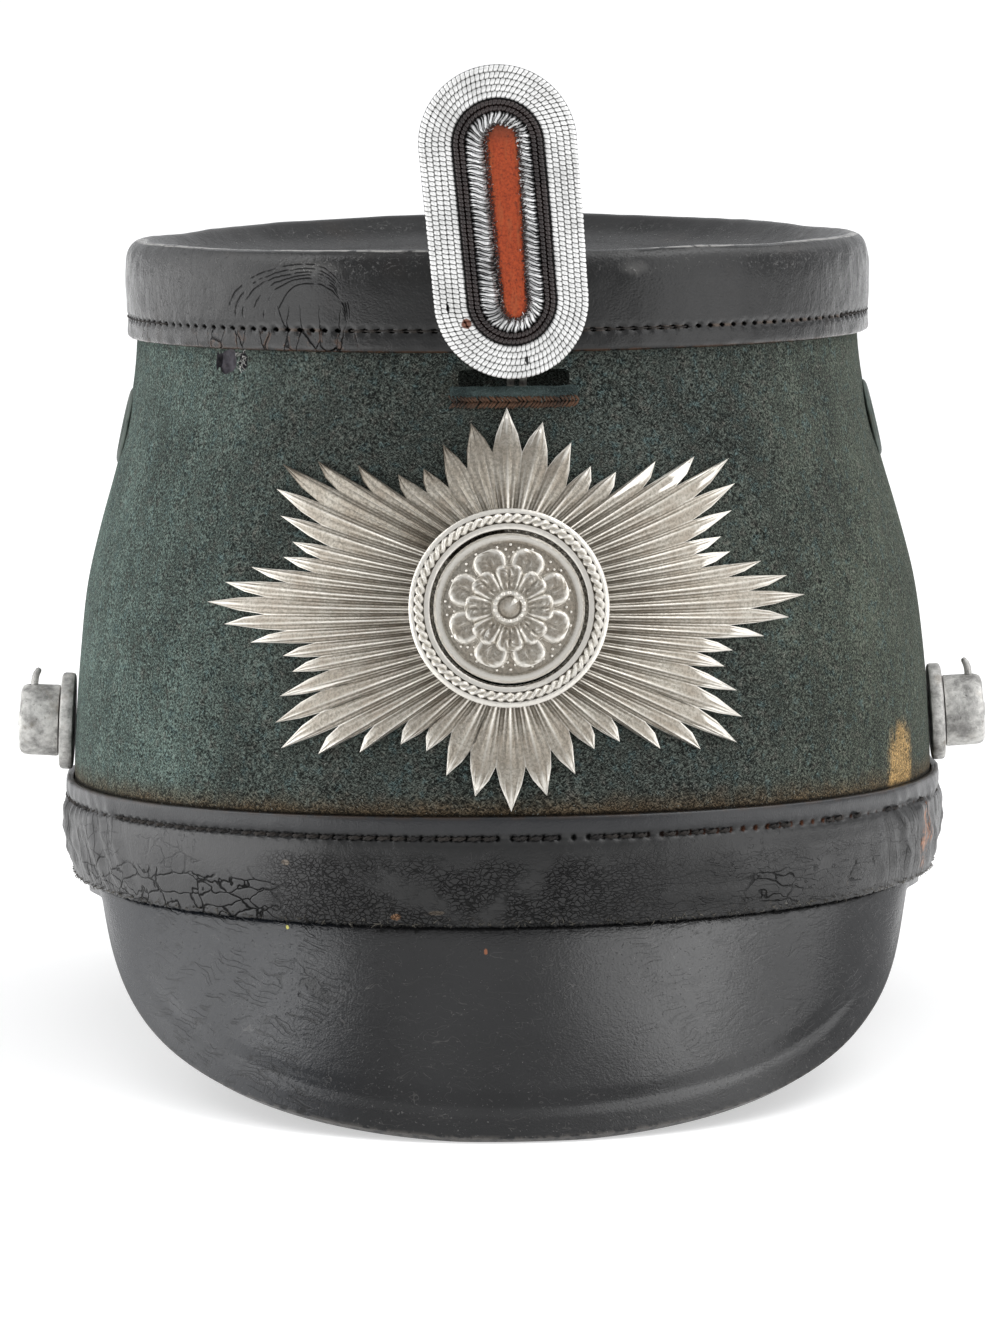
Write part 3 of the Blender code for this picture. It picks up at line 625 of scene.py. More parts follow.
def bandFinish(look):
    finish, point = startFinish("band_leather")
    x, y, z = parts(point)
    across = roundTheHat(x, y, 90.0)
    flat = joined(across, 0.0, z)
    leather = grain(point, 0.9, 4.0, 0.65)
    patches = grain(point, 13.0, 3.0, 0.6)
    colour = mixed(over(0.3, 0.7, patches), look["dark"], look["light"])
    colour = mixed(over(16.0, 17.0, overFoot(x, z)) * 0.6, colour, look["strip"])
    # broad plates between deep cracks low on the left, a few on the right
    bent = warped(warped(flat, 6.0, 2.6), 1.5, 0.25)
    plates = cellEdges(stretched(bent, (9.0, 1.0, 3.0)))
    low = under(6.0, 7.2, z + grain(flat, 9.0) * 3.0 - 1.5)
    left = between(-112.0, -104.0, -46.0, -36.0, across)
    right = between(40.0, 48.0, 80.0, 92.0, across) * 0.85
    few = over(0.48, 0.54, grain(moved(flat, (3, 3, 8)), 12.0, 2.0))
    area = most(low * most(left, right * few), under(11.0, 13.5, z) * few * left * 0.25)
    cracks = under(0.018, 0.050, plates) * area
    shoulders = under(0.0, 0.10, plates) * area
    # dense fine crazing in the middle, hairlines everywhere
    fine = cellEdges(stretched(warped(flat, 2.5, 2.2), (1.0, 1.0, 0.65)))
    crazed = over(-48.0, -36.0, across) * (1 - over(8.0, 34.0, across) * 0.8)
    crazed = crazed * over(0.34, 0.50, grain(moved(flat, (7, 2, 1)), 9.0, 3.0)) * under(10.0, 14.5, z)
    crazing = under(0.04, 0.14, fine) * crazed
    hair = grain(stretched(warped(flat, 6.0, 5.0), (3.2, 1.0, 6.5)), 1.0, 2.0, 0.6)
    hairlines = around(0.5, 0.012, hair) * under(14.0, 15.0, z) * over(0.50, 0.58, patches)
    long = grain(stretched(warped(flat, 7.0, 3.0), (16.0, 1.0, 2.6)), 1.0, 2.0, 0.6)
    longLines = around(0.52, 0.013, long) * under(9.0, 13.0, z) * over(-20.0, 30.0, across)
    pleats = grain(joined(across / 3.4 + z / 10.0, 0.0, z / 15.0), 1.0, 1.0, 0.5)
    atEnds = over(80.0, 96.0, unsigned(across)) * under(13.0, 16.0, z)
    pleats = around(0.5, 0.035, pleats) * atEnds
    fray = over(0.60, 0.68, grain(point, 0.9, 2.0, 0.7)) * under(-0.6, 0.9, z)
    colour = mixed(fray * 0.8, colour, look["dust"])
    dirt = over(0.58, 0.72, grain(point, 1.6, 4.0, 0.8)) * under(1.0, 5.0, z + patches * 6.0 - 3.0)
    colour = mixed(dirt * 0.5, colour, look["dirt"])
    rust = spot(warped(point, 2.0, 3.0), *look["rustAt"])
    streaks = grain(stretched(warped(moved(point, (2, 6, 2)), 2.0, 1.0), (1.0, 1.0, 3.0)), 1.2, 4.0, 0.75)
    colour = mixed(over(0.05, 0.3, rust) * over(0.54, 0.60, streaks + rust * 0.08), colour, look["rust"])
    line = around(19.7, 0.8, overFoot(x, z))
    colour = mixed(line * over(0.42, 0.60, grain(point, 3.0, 3.0)) * 0.6, colour, look["brown"])
    colour = marked(point, colour, look["marks"])
    # painted shade: the empty stitch holes are near-black and metallic, so that they reflect nothing; towards
    # the right they are also rust-brown
    holes = over(0.2, 0.6, attribute(point, "hole"))
    colour = mixed(holes, colour, mixed(over(20.0, 60.0, x), look["hole"], look["holeRust"]))
    # painted highlight: the band's left, below the stitches, is lighter grey where the light falls on it
    worn = under(-46.0, -28.0, across) * over(-112.0, -100.0, across) * under(15.0, 16.0, z)
    colour = mixed(worn * 0.7, colour, look["worn"])
    # painted shade: the cracks, crazing, hairlines and the folds of the pleats are near-black and metallic,
    # so that they reflect nothing
    dark = most(most(cracks, crazing * 0.7), most(hairlines * 0.2, longLines * 0.35))
    dark = most(dark, pleats * 0.5)
    colour = mixed(dark * 0.97, colour, look["crackShade"])
    height = leather * 0.06 - shoulders * 0.08 - cracks * 0.25 - crazing * 0.16 - hairlines * 0.06
    height = height - longLines * 0.1 - pleats * 0.25 + fray * 0.3 + patches * 0.25
    height = height + grain(moved(point, (4, 1, 1)), 0.42, 2.0, 0.6) * 0.06
    values = {
        "Base Color": colour,
        "Roughness": leather * 0.12 + crazed * 0.08 + 0.24,
        # metallic where shade is painted, in the cracks and the stitch holes
        "Metallic": most(dark * 0.85, holes * 0.9),
        "Specular IOR Level": look["gloss"],
    }
    return endFinish(finish, values, height)


def peakFinish(look):
    finish, point = startFinish("peak_leather")
    x, y, z = parts(point)
    along = parts(point.node("ShaderNodeTexCoord", {}, {}, "UV"))[1]
    leather = grain(point, 0.8, 3.0, 0.6)
    patches = grain(point, 18.0, 3.0, 0.6)
    inward = unsigned(x) * -1
    bent = warped(joined(inward, y, z), 9.0, 5.0)
    bentX, bentY, bentZ = parts(bent)
    slant = joined((bentX * 0.96 - bentZ * 0.28) / 16.0, bentY / 18.0, (bentX * 0.28 + bentZ * 0.96) / 1.3)
    net = cellEdges(warped(slant, 1.0, 0.35))
    crossing = cellEdges(warped(joined(bentX / 2.2, bentY / 9.0, bentZ / 7.0), 1.0, 0.4))
    creased = over(24.0, 36.0, x * -1) + over(16.0, 28.0, x) * 0.45
    creased = creased * over(0.40, 0.52, grain(moved(point, (5, 5, 0)), 9.0, 3.0, 0.6))
    creased = creased * under(60.0, 74.0, x * -1)
    broken = over(0.42, 0.50, grain(moved(point, (2, 9, 4)), 5.0, 2.0))
    hairlines = most(under(0.02, 0.06, net), under(0.02, 0.05, crossing) * 0.4) * creased * broken
    dust = over(0.66, 0.72, grain(point, 0.6, 2.0, 0.6))
    specks = under(0.03, 0.07, cells(point, 1.7)) * over(0.45, 0.6, grain(point, 7.0, 2.0))
    edge = under(0.0, 0.16, along)
    scratches = grain(stretched(warped(point, 9.0, 9.0), (12.0, 12.0, 2.0)), 1.0, 2.0, 0.5)
    scratches = around(0.5, 0.004, scratches)
    colour = mixed(over(0.3, 0.7, patches), look["dark"], look["light"])
    # painted reflection: a bluish tint on the peak's left, where it catches the light
    colour = mixed(under(-46.0, -22.0, x) * 0.8, colour, look["bluishReflection"])
    colour = mixed(dust * (edge * 0.45 + 0.22), colour, look["dust"])
    colour = mixed(most(specks * 0.6, scratches * 0.18), colour, look["speck"])
    worn = under(0.0, 0.022, along + leather * 0.012) * over(0.40, 0.55, grain(point, 1.6, 3.0))
    colour = mixed(worn * 0.7, colour, look["worn"])
    # painted shade: the hairline creases are near-black and a little metallic, so that they reflect less
    colour = mixed(hairlines * 0.7, colour, look["crackShade"])
    colour = marked(point, colour, look["marks"])
    height = leather * 0.04 - hairlines * 0.04 + patches * 0.12 + dust * 0.04
    height = height + grain(moved(point, (4, 1, 1)), 0.4, 2.0, 0.6) * 0.045
    values = {
        "Base Color": colour,
        "Roughness": leather * 0.08 + edge * 0.16 + dust * 0.2 + 0.14,
        "Metallic": hairlines * 0.15,
        "Specular IOR Level": look["gloss"],
    }
    return endFinish(finish, values, height)


def threadFinish(name, dark, light):
    finish, point = startFinish(name)
    fibre = grain(point, 0.35, 2.0, 0.6)
    colour = mixed(over(0.35, 0.65, grain(point, 6.0, 2.0)), dark, light)
    colour = mixed(over(0.5, 0.7, fibre) * 0.4, colour, tuple(value * 2.2 for value in light))
    return endFinish(finish, {"Base Color": colour, "Roughness": 0.85}, fibre * 0.08)


def silverFinish(look):  # the old plate: bright on its edges, warm and dull in its hollows
    finish, point = startFinish("old_silver")
    stipple = grain(point, 0.5, 2.0, 0.6)
    tarnish = grain(point, 4.5, 4.0, 0.65)
    geometry = point.node("ShaderNodeNewGeometry", {}, {}, "Pointiness")
    raised = over(0.505, 0.55, geometry)
    colour = mixed(over(0.3, 0.7, tarnish), look["warm"], look["plain"])
    colour = mixed(over(0.46, 0.6, stipple) * 0.5, colour, look["dull"])
    hollow = under(0.43, 0.492, geometry)
    colour = mixed(hollow * 0.85, colour, look["hollow"])
    colour = mixed(raised * 0.8, colour, look["bright"])
    values = {
        "Base Color": colour,
        "Roughness": stipple * 0.2 - raised * 0.1 + 0.36,
        "Metallic": 0.9,
    }
    return endFinish(finish, values, stipple * 0.12 + tarnish * 0.15)


def alloyFinish(name, look):
    finish, point = startFinish(name)
    dull = grain(point, 3.5, 5.0, 0.7)
    pits = over(0.62, 0.72, grain(point, 0.8, 3.0, 0.7))
    colour = mixed(over(0.3, 0.7, dull), look["dark"], look["light"])
    smudge = over(0.55, 0.75, grain(moved(point, (8, 1, 3)), 5.0, 3.0, 0.7))
    colour = mixed(smudge * 0.5, colour, look["brown"])
    colour = mixed(pits * 0.5, colour, look["pit"])
    values = {"Base Color": colour, "Roughness": 0.42 + dull * 0.25, "Metallic": 0.75}
    return endFinish(finish, values, dull * 0.25 - pits * 0.1)


def cordFinish(name, look, marks=()):  # the attribute says how deep between its strands a point lies; the finish paints shade there
    finish, point = startFinish(name)
    fibre = grain(point, 0.22, 2.0, 0.6)
    patches = grain(point, 5.0, 3.0, 0.6)
    groove = attribute(point, "groove")
    colour = mixed(over(0.35, 0.75, patches), look["light"], look["dark"])
    colour = mixed(over(0.45, 0.7, fibre) * 0.35, colour, look["fibre"])
    # painted shade: darker deep between the strands
    colour = mixed(over(*look["grooveShadeRange"], groove), colour, look["deep"])
    colour = marked(point, colour, marks)
    values = {"Base Color": colour, "Roughness": look["rough"], "Metallic": look["metal"]}
    return endFinish(finish, values, fibre * 0.05)


def centreFinish(look):
    finish, point = startFinish("orange_cloth")
    wool = grain(point, 0.45, 3.0, 0.7)
    streaks = grain(stretched(point, (0.5, 1.0, 4.0)), 1.4, 3.0, 0.65)
    colour = mixed(over(0.32, 0.62, wool), look["dark"], look["light"])
    colour = mixed(over(0.50, 0.66, streaks) * 0.55, colour, look["worn"])
    colour = mixed(over(146.5, 151.0, parts(point)[2] + wool * 4.0) * 0.75, colour, look["brown"])
    specks = over(0.62, 0.70, grain(moved(point, (2, 2, 2)), 0.7, 2.0))
    colour = mixed(specks * 0.45, colour, look["deep"])
    return endFinish(finish, {"Base Color": colour, "Roughness": 0.95, "Sheen Weight": 0.1}, wool * 0.35)


# The felt body


def ovalRing(height, outside):
    halfWidth, halfDepth, middle = valueAt(felt["sections"], height)
    return (height, halfWidth + outside, halfDepth + outside, middle)


def besideHole(angle, sewn):  # how far round a point lies from the nearest stitch hole
    step = 360 / sewn["holes"]
    return abs((angle / step) % 1 - 0.5) * step * radians(1) * sewn["radius"]


def markPoints(piece, name, amounts):  # an attribute that a finish reads
    layer = piece.data.attributes.new(name, "FLOAT", "POINT")
    layer.data.foreach_set("value", amounts)


def makeFelt(finish, card):
    foot, head, wall = felt["foot"], felt["head"], felt["wall"]
    rows = round((head - felt["rebateTop"]) / felt["rowEvery"])
    climb = [felt["rebateTop"] + (head - felt["rebateTop"]) * i / rows for i in range(rows + 1)]
    rings = [ovalRing(foot, -felt["rebate"]), ovalRing(felt["rebateTop"], -felt["rebate"])]
    rings += [ovalRing(height, 0) for height in climb]
    rings += [ovalRing(height, -wall) for height in climb[::-4]] + [ovalRing(foot, -wall)]
    body = raiseRings("felt_cloth", rings, felt["around"], closed=True)

    def dent(point):
        _, out = aroundAt(point)
        push = out * noise.noise(point / felt["dentSize"]) * felt["dents"]
        return point + push * rise(*felt["dentsFrom"], point.z)

    shapeBy(body, dent)
    body.data.materials.append(finish)
    body.data.materials.append(card)
    for name, (angle, height, *size) in felt["holes"].items():
        worn = startBall(name, 4)
        shapeBy(worn, lambda point: point * (1 + 0.3 * noise.noise(point * 1.7 + Vector((angle, 0, 0)))))
        worn.data.transform(feltPlace(angle, height) @ Matrix.Diagonal((*size, 1)))
        worn.data.materials.append(card)
        cutWith(body, worn)
    return body


def makeLooseFibres(finish):  # frayed ends round the second worn hole
    angleHere, heightHere = felt["holes"]["nick"][:2]
    lines = []
    for i in range(felt["looseFibres"]):
        shift = shake(i * 2.7, 1, 5)
        bend = shake(i * 1.9, 8, 2)
        angle, height = angleHere + shift.x * 2.4, heightHere + shift.y * 3.4
        line = []
        for t in (0.0, 0.35, 0.7, 1.0):
            out = 0.1 + 0.5 * sin(pi * t)
            turned = angle + (t - 0.5) * 0.7 * bend.x * 2 + 0.3 * bend.z * t * t
            line.append((feltPoint(turned, height + (t - 0.5) * 2.6 * bend.y, out), 1 - 0.5 * t))
        lines.append(line)
    return settle(wires("loose_fibres", lines, felt["fibreThick"], 1), finish, None, smooth=60)


# The crown cap

crown = {  # a profile row is (height, distance outside the felt's top oval)
    "side": (
        (106.3, 0.6), (106.15, 1.3), (106.4, 2.0), (107.2, 2.3), (108.6, 2.35), (110.3, 2.4),
        (112.0, 2.5), (115.0, 2.65), (119.0, 2.75), (121.6, 2.5), (123.6, 1.95), (124.9, 0.95),
        (125.4, -0.4), (125.1, -1.9), (123.9, -3.8), (122.4, -6.2), (121.1, -9.5),
        (120.3, -14.0),
    ),
    "dish": ((120.0, 0.7), (119.8, 0.5), (119.7, 0.25), (119.7, 0.0)),  # (height, share of the oval)
    "follows": 122,  # the height whose oval it has
    "rimTop": 124.9,
    "wall": 1.5,
    "holes": 168,
    "radius": 78,
    "columnsPerHole": 5,
    "stitchHeight": 110.3,
    "groove": 0.14,
    "holeDepth": 0.8,
    "holeWidth": 0.50,
    "sides": (52, 76, 120, 150),  # the wrinkled sides, in degrees round
    "lumps": ((19, 0.25), (4, 0.10)),
    "dishLumps": ((24, 0.35), (6, 0.12)),
    "thread": 0.15,
    "backHigher": 1.9,
    "inside": ((119, -12), (119, 1.2), (106.5, 0.5)),
    "stitch": (  # how far along, distance outside, share of the thread's radius
        (0.02, 1.7, 0.8), (0.2, 2.2, 1), (0.5, 2.3, 1.1), (0.8, 2.2, 1), (0.98, 1.7, 0.8),
    ),
    "sewn": ((-25, -5), (10, 28), (60, 300)),  # degrees round the hat where the thread is still there
}


def makeCrown(finish):
    oval = halfWidth, halfDepth, middle = valueAt(felt["sections"], crown["follows"])
    wall = crown["wall"]

    def ring(height, outside=0, share=1):
        return (height, halfWidth * share + outside, halfDepth * share + outside, middle)

    rings = [ring(*row) for row in smoothRows(crown["side"], 3)]
    rings += [ring(height, 0, share) for height, share in crown["dish"]]
    rings += [ring(height - wall, 0, share) for height, share in crown["dish"][::-1]]
    rings += [ring(*row) for row in crown["inside"]]
    cap = raiseRings("crown_leather", rings, crown["holes"] * crown["columnsPerHole"], closed=True)
    holes = []

    def press(point):
        angle, out = aroundAt(point, oval)
        lift = crown["backHigher"] * rise(30, 88, point.y) * rise(112, 121, point.z)
        holes.append(0.0)
        share = hypot(point.x / halfWidth, (point.y - middle) / halfDepth)
        if share < 1.008 or point.z > crown["rimTop"]:
            if point.z > 119.5:
                point.z += lumps(point, crown["dishLumps"]) + lift
            return point
        toHole = besideHole(angle, crown)
        slant = point.z - crown["stitchHeight"] + toHole * 0.1
        holes[-1] = near(hypot(toHole / 1.3, slant), 0, crown["holeWidth"] + 0.14 * wave(angle // 2, 2, 5))
        move = lumps(point, crown["lumps"]) - crown["holeDepth"] * holes[-1]
        move -= crown["groove"] * near(point.z, crown["stitchHeight"], 0.5)
        move += 0.20 * within(*crown["sides"], abs(angle)) * wave(angle * 0.33, point.z / 3.2, 3)
        lip = 1 - rise(106.4, 109.5, point.z)
        move += lip * 0.25 * wave(angle * 0.35, 0, 8)
        return point + out * move + Vector((0, 0, lift))

    shapeBy(cap, press)
    markPoints(cap, "hole", holes)
    return settle(cap, finish, "leather", "crown_cap")


def makeCrownStitches(finish):
    halfWidth, halfDepth, middle = valueAt(felt["sections"], crown["follows"])
    step = 360 / crown["holes"]
    lines = []
    for i in range(crown["holes"]):
        at = (i + 1) * step
        sewn = any(low < turned < high for low, high in crown["sewn"] for turned in (at, at - 360))
        if not sewn or wave(i * 0.37, 4, 4) > 0.2:
            continue
        line = []
        for along, outside, share in crown["stitch"]:
            angle = radians((i + 0.5 + along) * step)
            wide, deep = halfWidth + outside, halfDepth + outside
            height = crown["stitchHeight"] + 0.12 * wave(i, along, 1)
            line.append(((wide * sin(angle), middle - deep * cos(angle), height), share))
        lines.append(line)
    return settle(wires("crown_stitches", lines, crown["thread"], 1), finish, None)


# The band round the foot

band = {  # a section row is (height, distance outside the felt)
    "section": (
        (19.5, 0.3), (19.75, 0.9), (19.5, 1.5), (18.6, 1.65), (17.0, 1.55), (15.6, 1.35),
        (14.2, 1.7), (11.0, 2.0), (7.0, 2.0), (3.6, 1.85), (0.6, 1.55), (-0.9, 1.35),
        (-1.3, 0.95), (-0.9, 0.45),
    ),
    "inside": ((4.0, 0.3), (14.0, 0.3)),
    "top": 19.5,
    "dip": 1.6,
    "around": 1140,
    "holes": 190,
    "radius": 92,
    "holeDepth": 0.6,
    "holeWidth": 0.62,
    "folded": (52, 66, 100, 116),  # the folded ends, in degrees round
    "stitchHeight": 15.6,
    "thread": 0.24,
    "fray": 520,
    "frayThick": 0.085,
}


def bandDip(angle, height):  # the band's upper edge dips towards the sides
    return band["dip"] * height / band["top"] * sin(radians(angle)) ** 2


def makeBand(finish):
    section = smoothRows(band["section"], 4)
    rings = [ovalRing(*row) for row in (*section, *band["inside"])]
    strip = raiseRings("band_leather", rings, band["around"], closed=True)
    holes = []

    def press(point):
        angle, out = aroundAt(point)
        height = point.z
        inner = (point - feltPoint(angle, height)).dot(out) < 0.6
        point.z -= bandDip(angle, max(height, 0))
        holes.append(0.0)
        if inner:
            return point
        away = hypot(besideHole(angle, band), height - band["stitchHeight"])
        holes[-1] = near(away, 0, band["holeWidth"]) * (1 - 0.55 * rise(35, 60, angle))
        move = 0.2 * wave(angle / 9, height / 9, 1) + 0.07 * wave(angle / 2.2, height / 4, 6)
        move -= 0.12 * near(height, band["stitchHeight"], 0.7) + band["holeDepth"] * holes[-1]
        ends = within(*band["folded"], abs(angle))
        folds = 0.75 * wave(angle / 2.3 + height / 8, height / 15, 4)
        folds += 0.7 * wave(angle / 8, height / 3.4, 9)
        move += ends * (0.4 + folds) * rise(-2, 4, height) * (1 - rise(15, 19, height) * 0.7)
        fold = 0.5 * wave(angle / 20 + height / 9, height / 5, 3) * rise(10, 30, angle)
        ragged = 0.3 * wave(angle * 0.9, 2, 2) + 0.2 * wave(angle * 3.1, 5, 2)
        point.z += (1 - rise(-1.2, 0.6, height)) * ragged
        return point + out * (move + fold * (1 - rise(12, 15, height)))

    shapeBy(strip, press)
    markPoints(strip, "hole", holes)
    return settle(strip, finish, "old_leather", "lower_band")


def makeBandFray(finish):  # torn fibres along the lower edge
    lines = []
    for i in range(band["fray"]):
        shift = shake(i * 3.3, 2, 6)
        bend = shake(i * 1.7, 4, 1)
        angle = (i * 360 / band["fray"] + shift.x * 4) % 360
        line = []
        for t in (0.0, 0.5, 1.0):
            height = -0.7 + 0.7 * shift.y + t * bend.z * 1.3
            along = angle + t * bend.x * 1.4
            line.append((feltPoint(along, min(height, 0.6), 1.45 + 0.35 * sin(pi * t)), 1 - 0.6 * t))
        lines.append(line)
    return settle(wires("band_fray", lines, band["frayThick"], 0), finish, None, smooth=60)


def makeBandStitches(finish):  # each stitch is two strands twisted together
    step = 360 / band["holes"]
    lines = []
    for i in range(band["holes"]):
        middle = (i + 1) * step - 360 * (i + 1 > band["holes"] / 2)
        kept = 1 if -95 < middle < -12 else 0.55 if middle < 30 else 0.3
        if wave(i * 0.41, 7, 7) + 0.5 > kept + 0.1:
            continue
        for strand in (0, pi):
            line = []
            for k in range(9):
                t = 0.03 + 0.94 * k / 8
                sunk = 1.6 - 1.3 * abs(2 * t - 1) ** 2
                twist = strand + t * pi * 2.2 + i
                height = band["stitchHeight"] + 0.25 * (t - 0.5) + 0.2 * sin(twist)
                angle = (i + 0.5 + t) * step
                point = feltPoint(angle, height, sunk + 0.2 * cos(twist))
                point.z -= bandDip(angle, height)
                line.append((point, 1 - 0.4 * abs(2 * t - 1) ** 4))
            lines.append(line)
    return settle(wires("band_stitches", lines, band["thread"], 1), finish, None, smooth=60)


# The peaks

frontPeak = {
    "middle": 0, "halfSpan": 75, "fadesAt": 70, "drop": 36.5, "reach": 30,
    "dropPower": 0.82, "reachPower": 1.45, "skew": 0.02, "bulge": 1.2,
    "columns": 240, "rows": 46,
}
rearPeak = {
    "middle": 180, "halfSpan": 60, "drop": 25, "reach": 15,
    "dropPower": 0.6, "reachPower": 0.8, "flatSpan": 37.5, "edge": 2.3, "bulge": 0.8,
    "columns": 160, "rows": 30,
}
peaks = {
    "flangeTop": 10.4,
    "root": -0.9,
    "least": 3.0,
    "bulgeLength": 45.0,
    "wall": 2.0,
    "flangeShare": 0.16,  # of a peak's rows
    "grooveIn": 6.4,
    "groove": 0.55,
    "grooveWidth": 1.4,
    "grooveFrom": (18, 34),  # the blade's length where the groove starts and is full
    "turnedDown": 0.4,
    "lumps": ((21, 0.18),),
    "rounded": 0.55,
}


def peakRow(drop, reach, bulge, share):  # (out, height) on the outer face; below 0 is the flange
    root = peaks["root"]
    if share < 0:
        return 0.0, root + (root - peaks["flangeTop"]) * share
    length = hypot(drop, reach)
    edgeIn = (1 - share) * length
    away = bulge * 4 * share * (1 - share) * length / peaks["bulgeLength"]
    deep = peaks["groove"] * near(edgeIn, peaks["grooveIn"], peaks["grooveWidth"])
    turned = peaks["turnedDown"] * (1 - rise(0, peaks["grooveIn"], edgeIn))
    away -= (deep + turned) * rise(*peaks["grooveFrom"], length)
    return reach * share + drop / length * away, root - (drop + root) * share + reach / length * away


def frontSize(angle):
    away = radians(min(abs(angle) * 90 / frontPeak["fadesAt"], 90))
    share = max(cos(away), 0)
    lean = 1 + frontPeak["skew"] * sin(radians(angle))
    drop = frontPeak["drop"] * share ** frontPeak["dropPower"] * lean
    return max(drop, peaks["least"]), frontPeak["reach"] * share ** frontPeak["reachPower"]


def groundHeight(y):  # of the plane that the hat stands on
    slope = radians(hat["tipsBack"])
    return y * tan(slope) - hat["lift"] / cos(slope)


def rearSize(angle):
    past = max(abs(angle - 180) - rearPeak["flatSpan"], 0) / (rearPeak["halfSpan"] - rearPeak["flatSpan"])
    share = max(cos(radians(past * 90)), 0)
    reach = rearPeak["reach"] * share ** rearPeak["reachPower"]
    tip = feltPoint(angle, 0, reach)
    drop = -groundHeight(tip.y) * share ** rearPeak["dropPower"]
    return max(drop, peaks["least"]), reach


def makePeak(name, peak, size, finish, node):
    blade = startGrid(name, peak["columns"], peak["rows"])
    flange = peaks["flangeShare"]

    def bend(point):
        angle = peak["middle"] + peak["halfSpan"] * point.x
        share = 1 - (point.y + 1) / 2 * (1 + flange)
        drop, reach = size(angle)
        out, height = peakRow(drop, reach, peak["bulge"], share if share > 0 else share / flange)
        lumpy = lumps(feltPoint(angle, height, out), peaks["lumps"]) * rise(0, 0.2, share)
        return feltPoint(angle, height, out + lumpy)

    shapeBy(blade, bend)
    addStep(blade, "SOLIDIFY", thickness=peaks["wall"], offset=-1, use_even_offset=True)
    addStep(blade, "BEVEL", width=peaks["rounded"], segments=3, limit_method="ANGLE", angle_limit=radians(60))
    shapeBy(blade, lambda point: Vector((point.x, point.y, max(point.z, groundHeight(point.y)))))
    return settle(blade, finish, "peak_leather", node)


# The cockade, modelled flat: X right, Y up, Z out of its face

cockade = {
    "middle": (1.3, -95.0, 130.9),
    "turned": -5.0,
    "straight": 14.6,  # half its straight part
    "board": (  # (radius, height), as in the centre
        (0, -1.2), (14.4, -1.2), (14.8, -0.9), (14.9, -0.48),
        (14.8, -0.1), (14.5, 0.05), (10, 0.1), (0, 0.1),
    ),
    "silver": {"cords": (9.31, 10.53, 11.75, 12.97, 14.19), "out": 0.95, "bead": 0.92, "thick": 0.66},
    "black": {"cords": (6.78, 7.86), "out": 1.25, "bead": 0.80, "thick": 0.57},
    "wound": (  # (share of the radius, share of a bead's length)
        (0.62, 0.0), (0.87, 0.1), (0.98, 0.28), (1.0, 0.5), (0.98, 0.72), (0.87, 0.9), (0.62, 1.0),
    ),
    "lean": 0.3,  # of the wound thread
    "uneven": ((1.1, 0.06),),  # (size, amount) of what pushes the cords, the bullion and the cloth about
    "wander": ((2.2, 0.26), (0.8, 0.14)),
    "crumple": ((1.5, 0.35), (0.6, 0.15)),
    "narrower": 0.045,
    "narrows": (-18, 8),
    "bullion": {"path": 4.45, "pitch": 1.09, "half": 1.75, "radius": 0.36, "out": 1.75, "low": 0.4},
    "bullionLoops": ((0.28, 1.0, 0.0), (0.80, 0.55, 0.3)),  # (place in the pitch, thickness, how much lower)
    "bullionLean": 0.42,
    "centre": (
        (0, 0.3), (2.8875, 0.3), (2.915, 1.05), (2.6675, 1.785), (1.925, 2.058), (0.9625, 2.1), (0, 2.1),
    ),
    "centreLonger": 1.06,
    "crinkles": 420,
    "fringe": 900,
}
cockadePlace = Matrix.Translation(cockade["middle"])
cockadePlace @= Matrix.Rotation(radians(cockade["turned"]), 4, "Y")
cockadePlace @= Matrix.Rotation(radians(90), 4, "X")


def slim(point):  # the cockade is a little narrower at its lower right
    if point.x > 0:
        point.x *= 1 - cockade["narrower"] * (1 - rise(*cockade["narrows"], point.y))
    return point


def pullApart(piece):  # makes a round piece long, with straight sides
    half = cockade["straight"]
    shapeBy(piece, lambda point: point + Vector((0, half if point.y > 0 else -half, 0)))
    return piece


def longPath(radius):
    path = startPiece("path", bpy.ops.mesh.primitive_circle_add, vertices=128, radius=radius)
    path.data.transform(Matrix.Rotation(pi / 128, 4, "Z"))
    pullApart(path)
    bpy.ops.object.convert(target="CURVE")
    return bpy.context.object


def layOn(unit, path, length, pitch):  # repeats a unit along X and bends the row round the path
    count = round(length / pitch)
    unit.data.transform(Matrix.Diagonal((length / count / pitch, 1, 1, 1)))
    addStep(
        unit, "ARRAY", fit_type="FIXED_COUNT", count=count, use_relative_offset=False,
        use_constant_offset=True, constant_offset_displace=(length / count, 0, 0),
        use_merge_vertices=True, merge_threshold=0.02,
    )
    addStep(unit, "CURVE", object=path, deform_axis="POS_X")
    bpy.data.objects.remove(path)
    return closeUp(unit, 0.01)


def beadUnit(name, radius, length):  # one turn of a tightly wound cord, along X
    bead = turnRings(name, [(radius * share, length * at) for share, at in cockade["wound"]], 8)
    bead.data.transform(Matrix.Rotation(pi / 2, 4, "Y"))
    shapeBy(bead, lambda point: point + Vector((cockade["lean"] * point.y, 0, 0)))
    # painted shade: the groove attribute darkens the cord between its beads
    markPoints(bead, "groove", [1 - rise(0.6, 1, hypot(v.co.y, v.co.z) / radius) for v in bead.data.vertices])
    return bead


def makeCords(name, look, finish, slot, node):
    cords = []
    for i, radius in enumerate(look["cords"]):
        length = 4 * cockade["straight"] + tau * radius
        unit = beadUnit(f"{name}_{i}", look["thick"], look["bead"])
        cord = layOn(unit, longPath(radius), length, look["bead"])
        cord.data.transform(Matrix.Translation((0, 0, look["out"])))
        cords.append(cord)
    wound = shapeBy(joinAll(name, cords), slim)
    shapeBy(wound, lambda point: point + pushes(point, cockade["uneven"]))
    return settle(wound, finish, slot, node, place=cockadePlace, smooth=60)


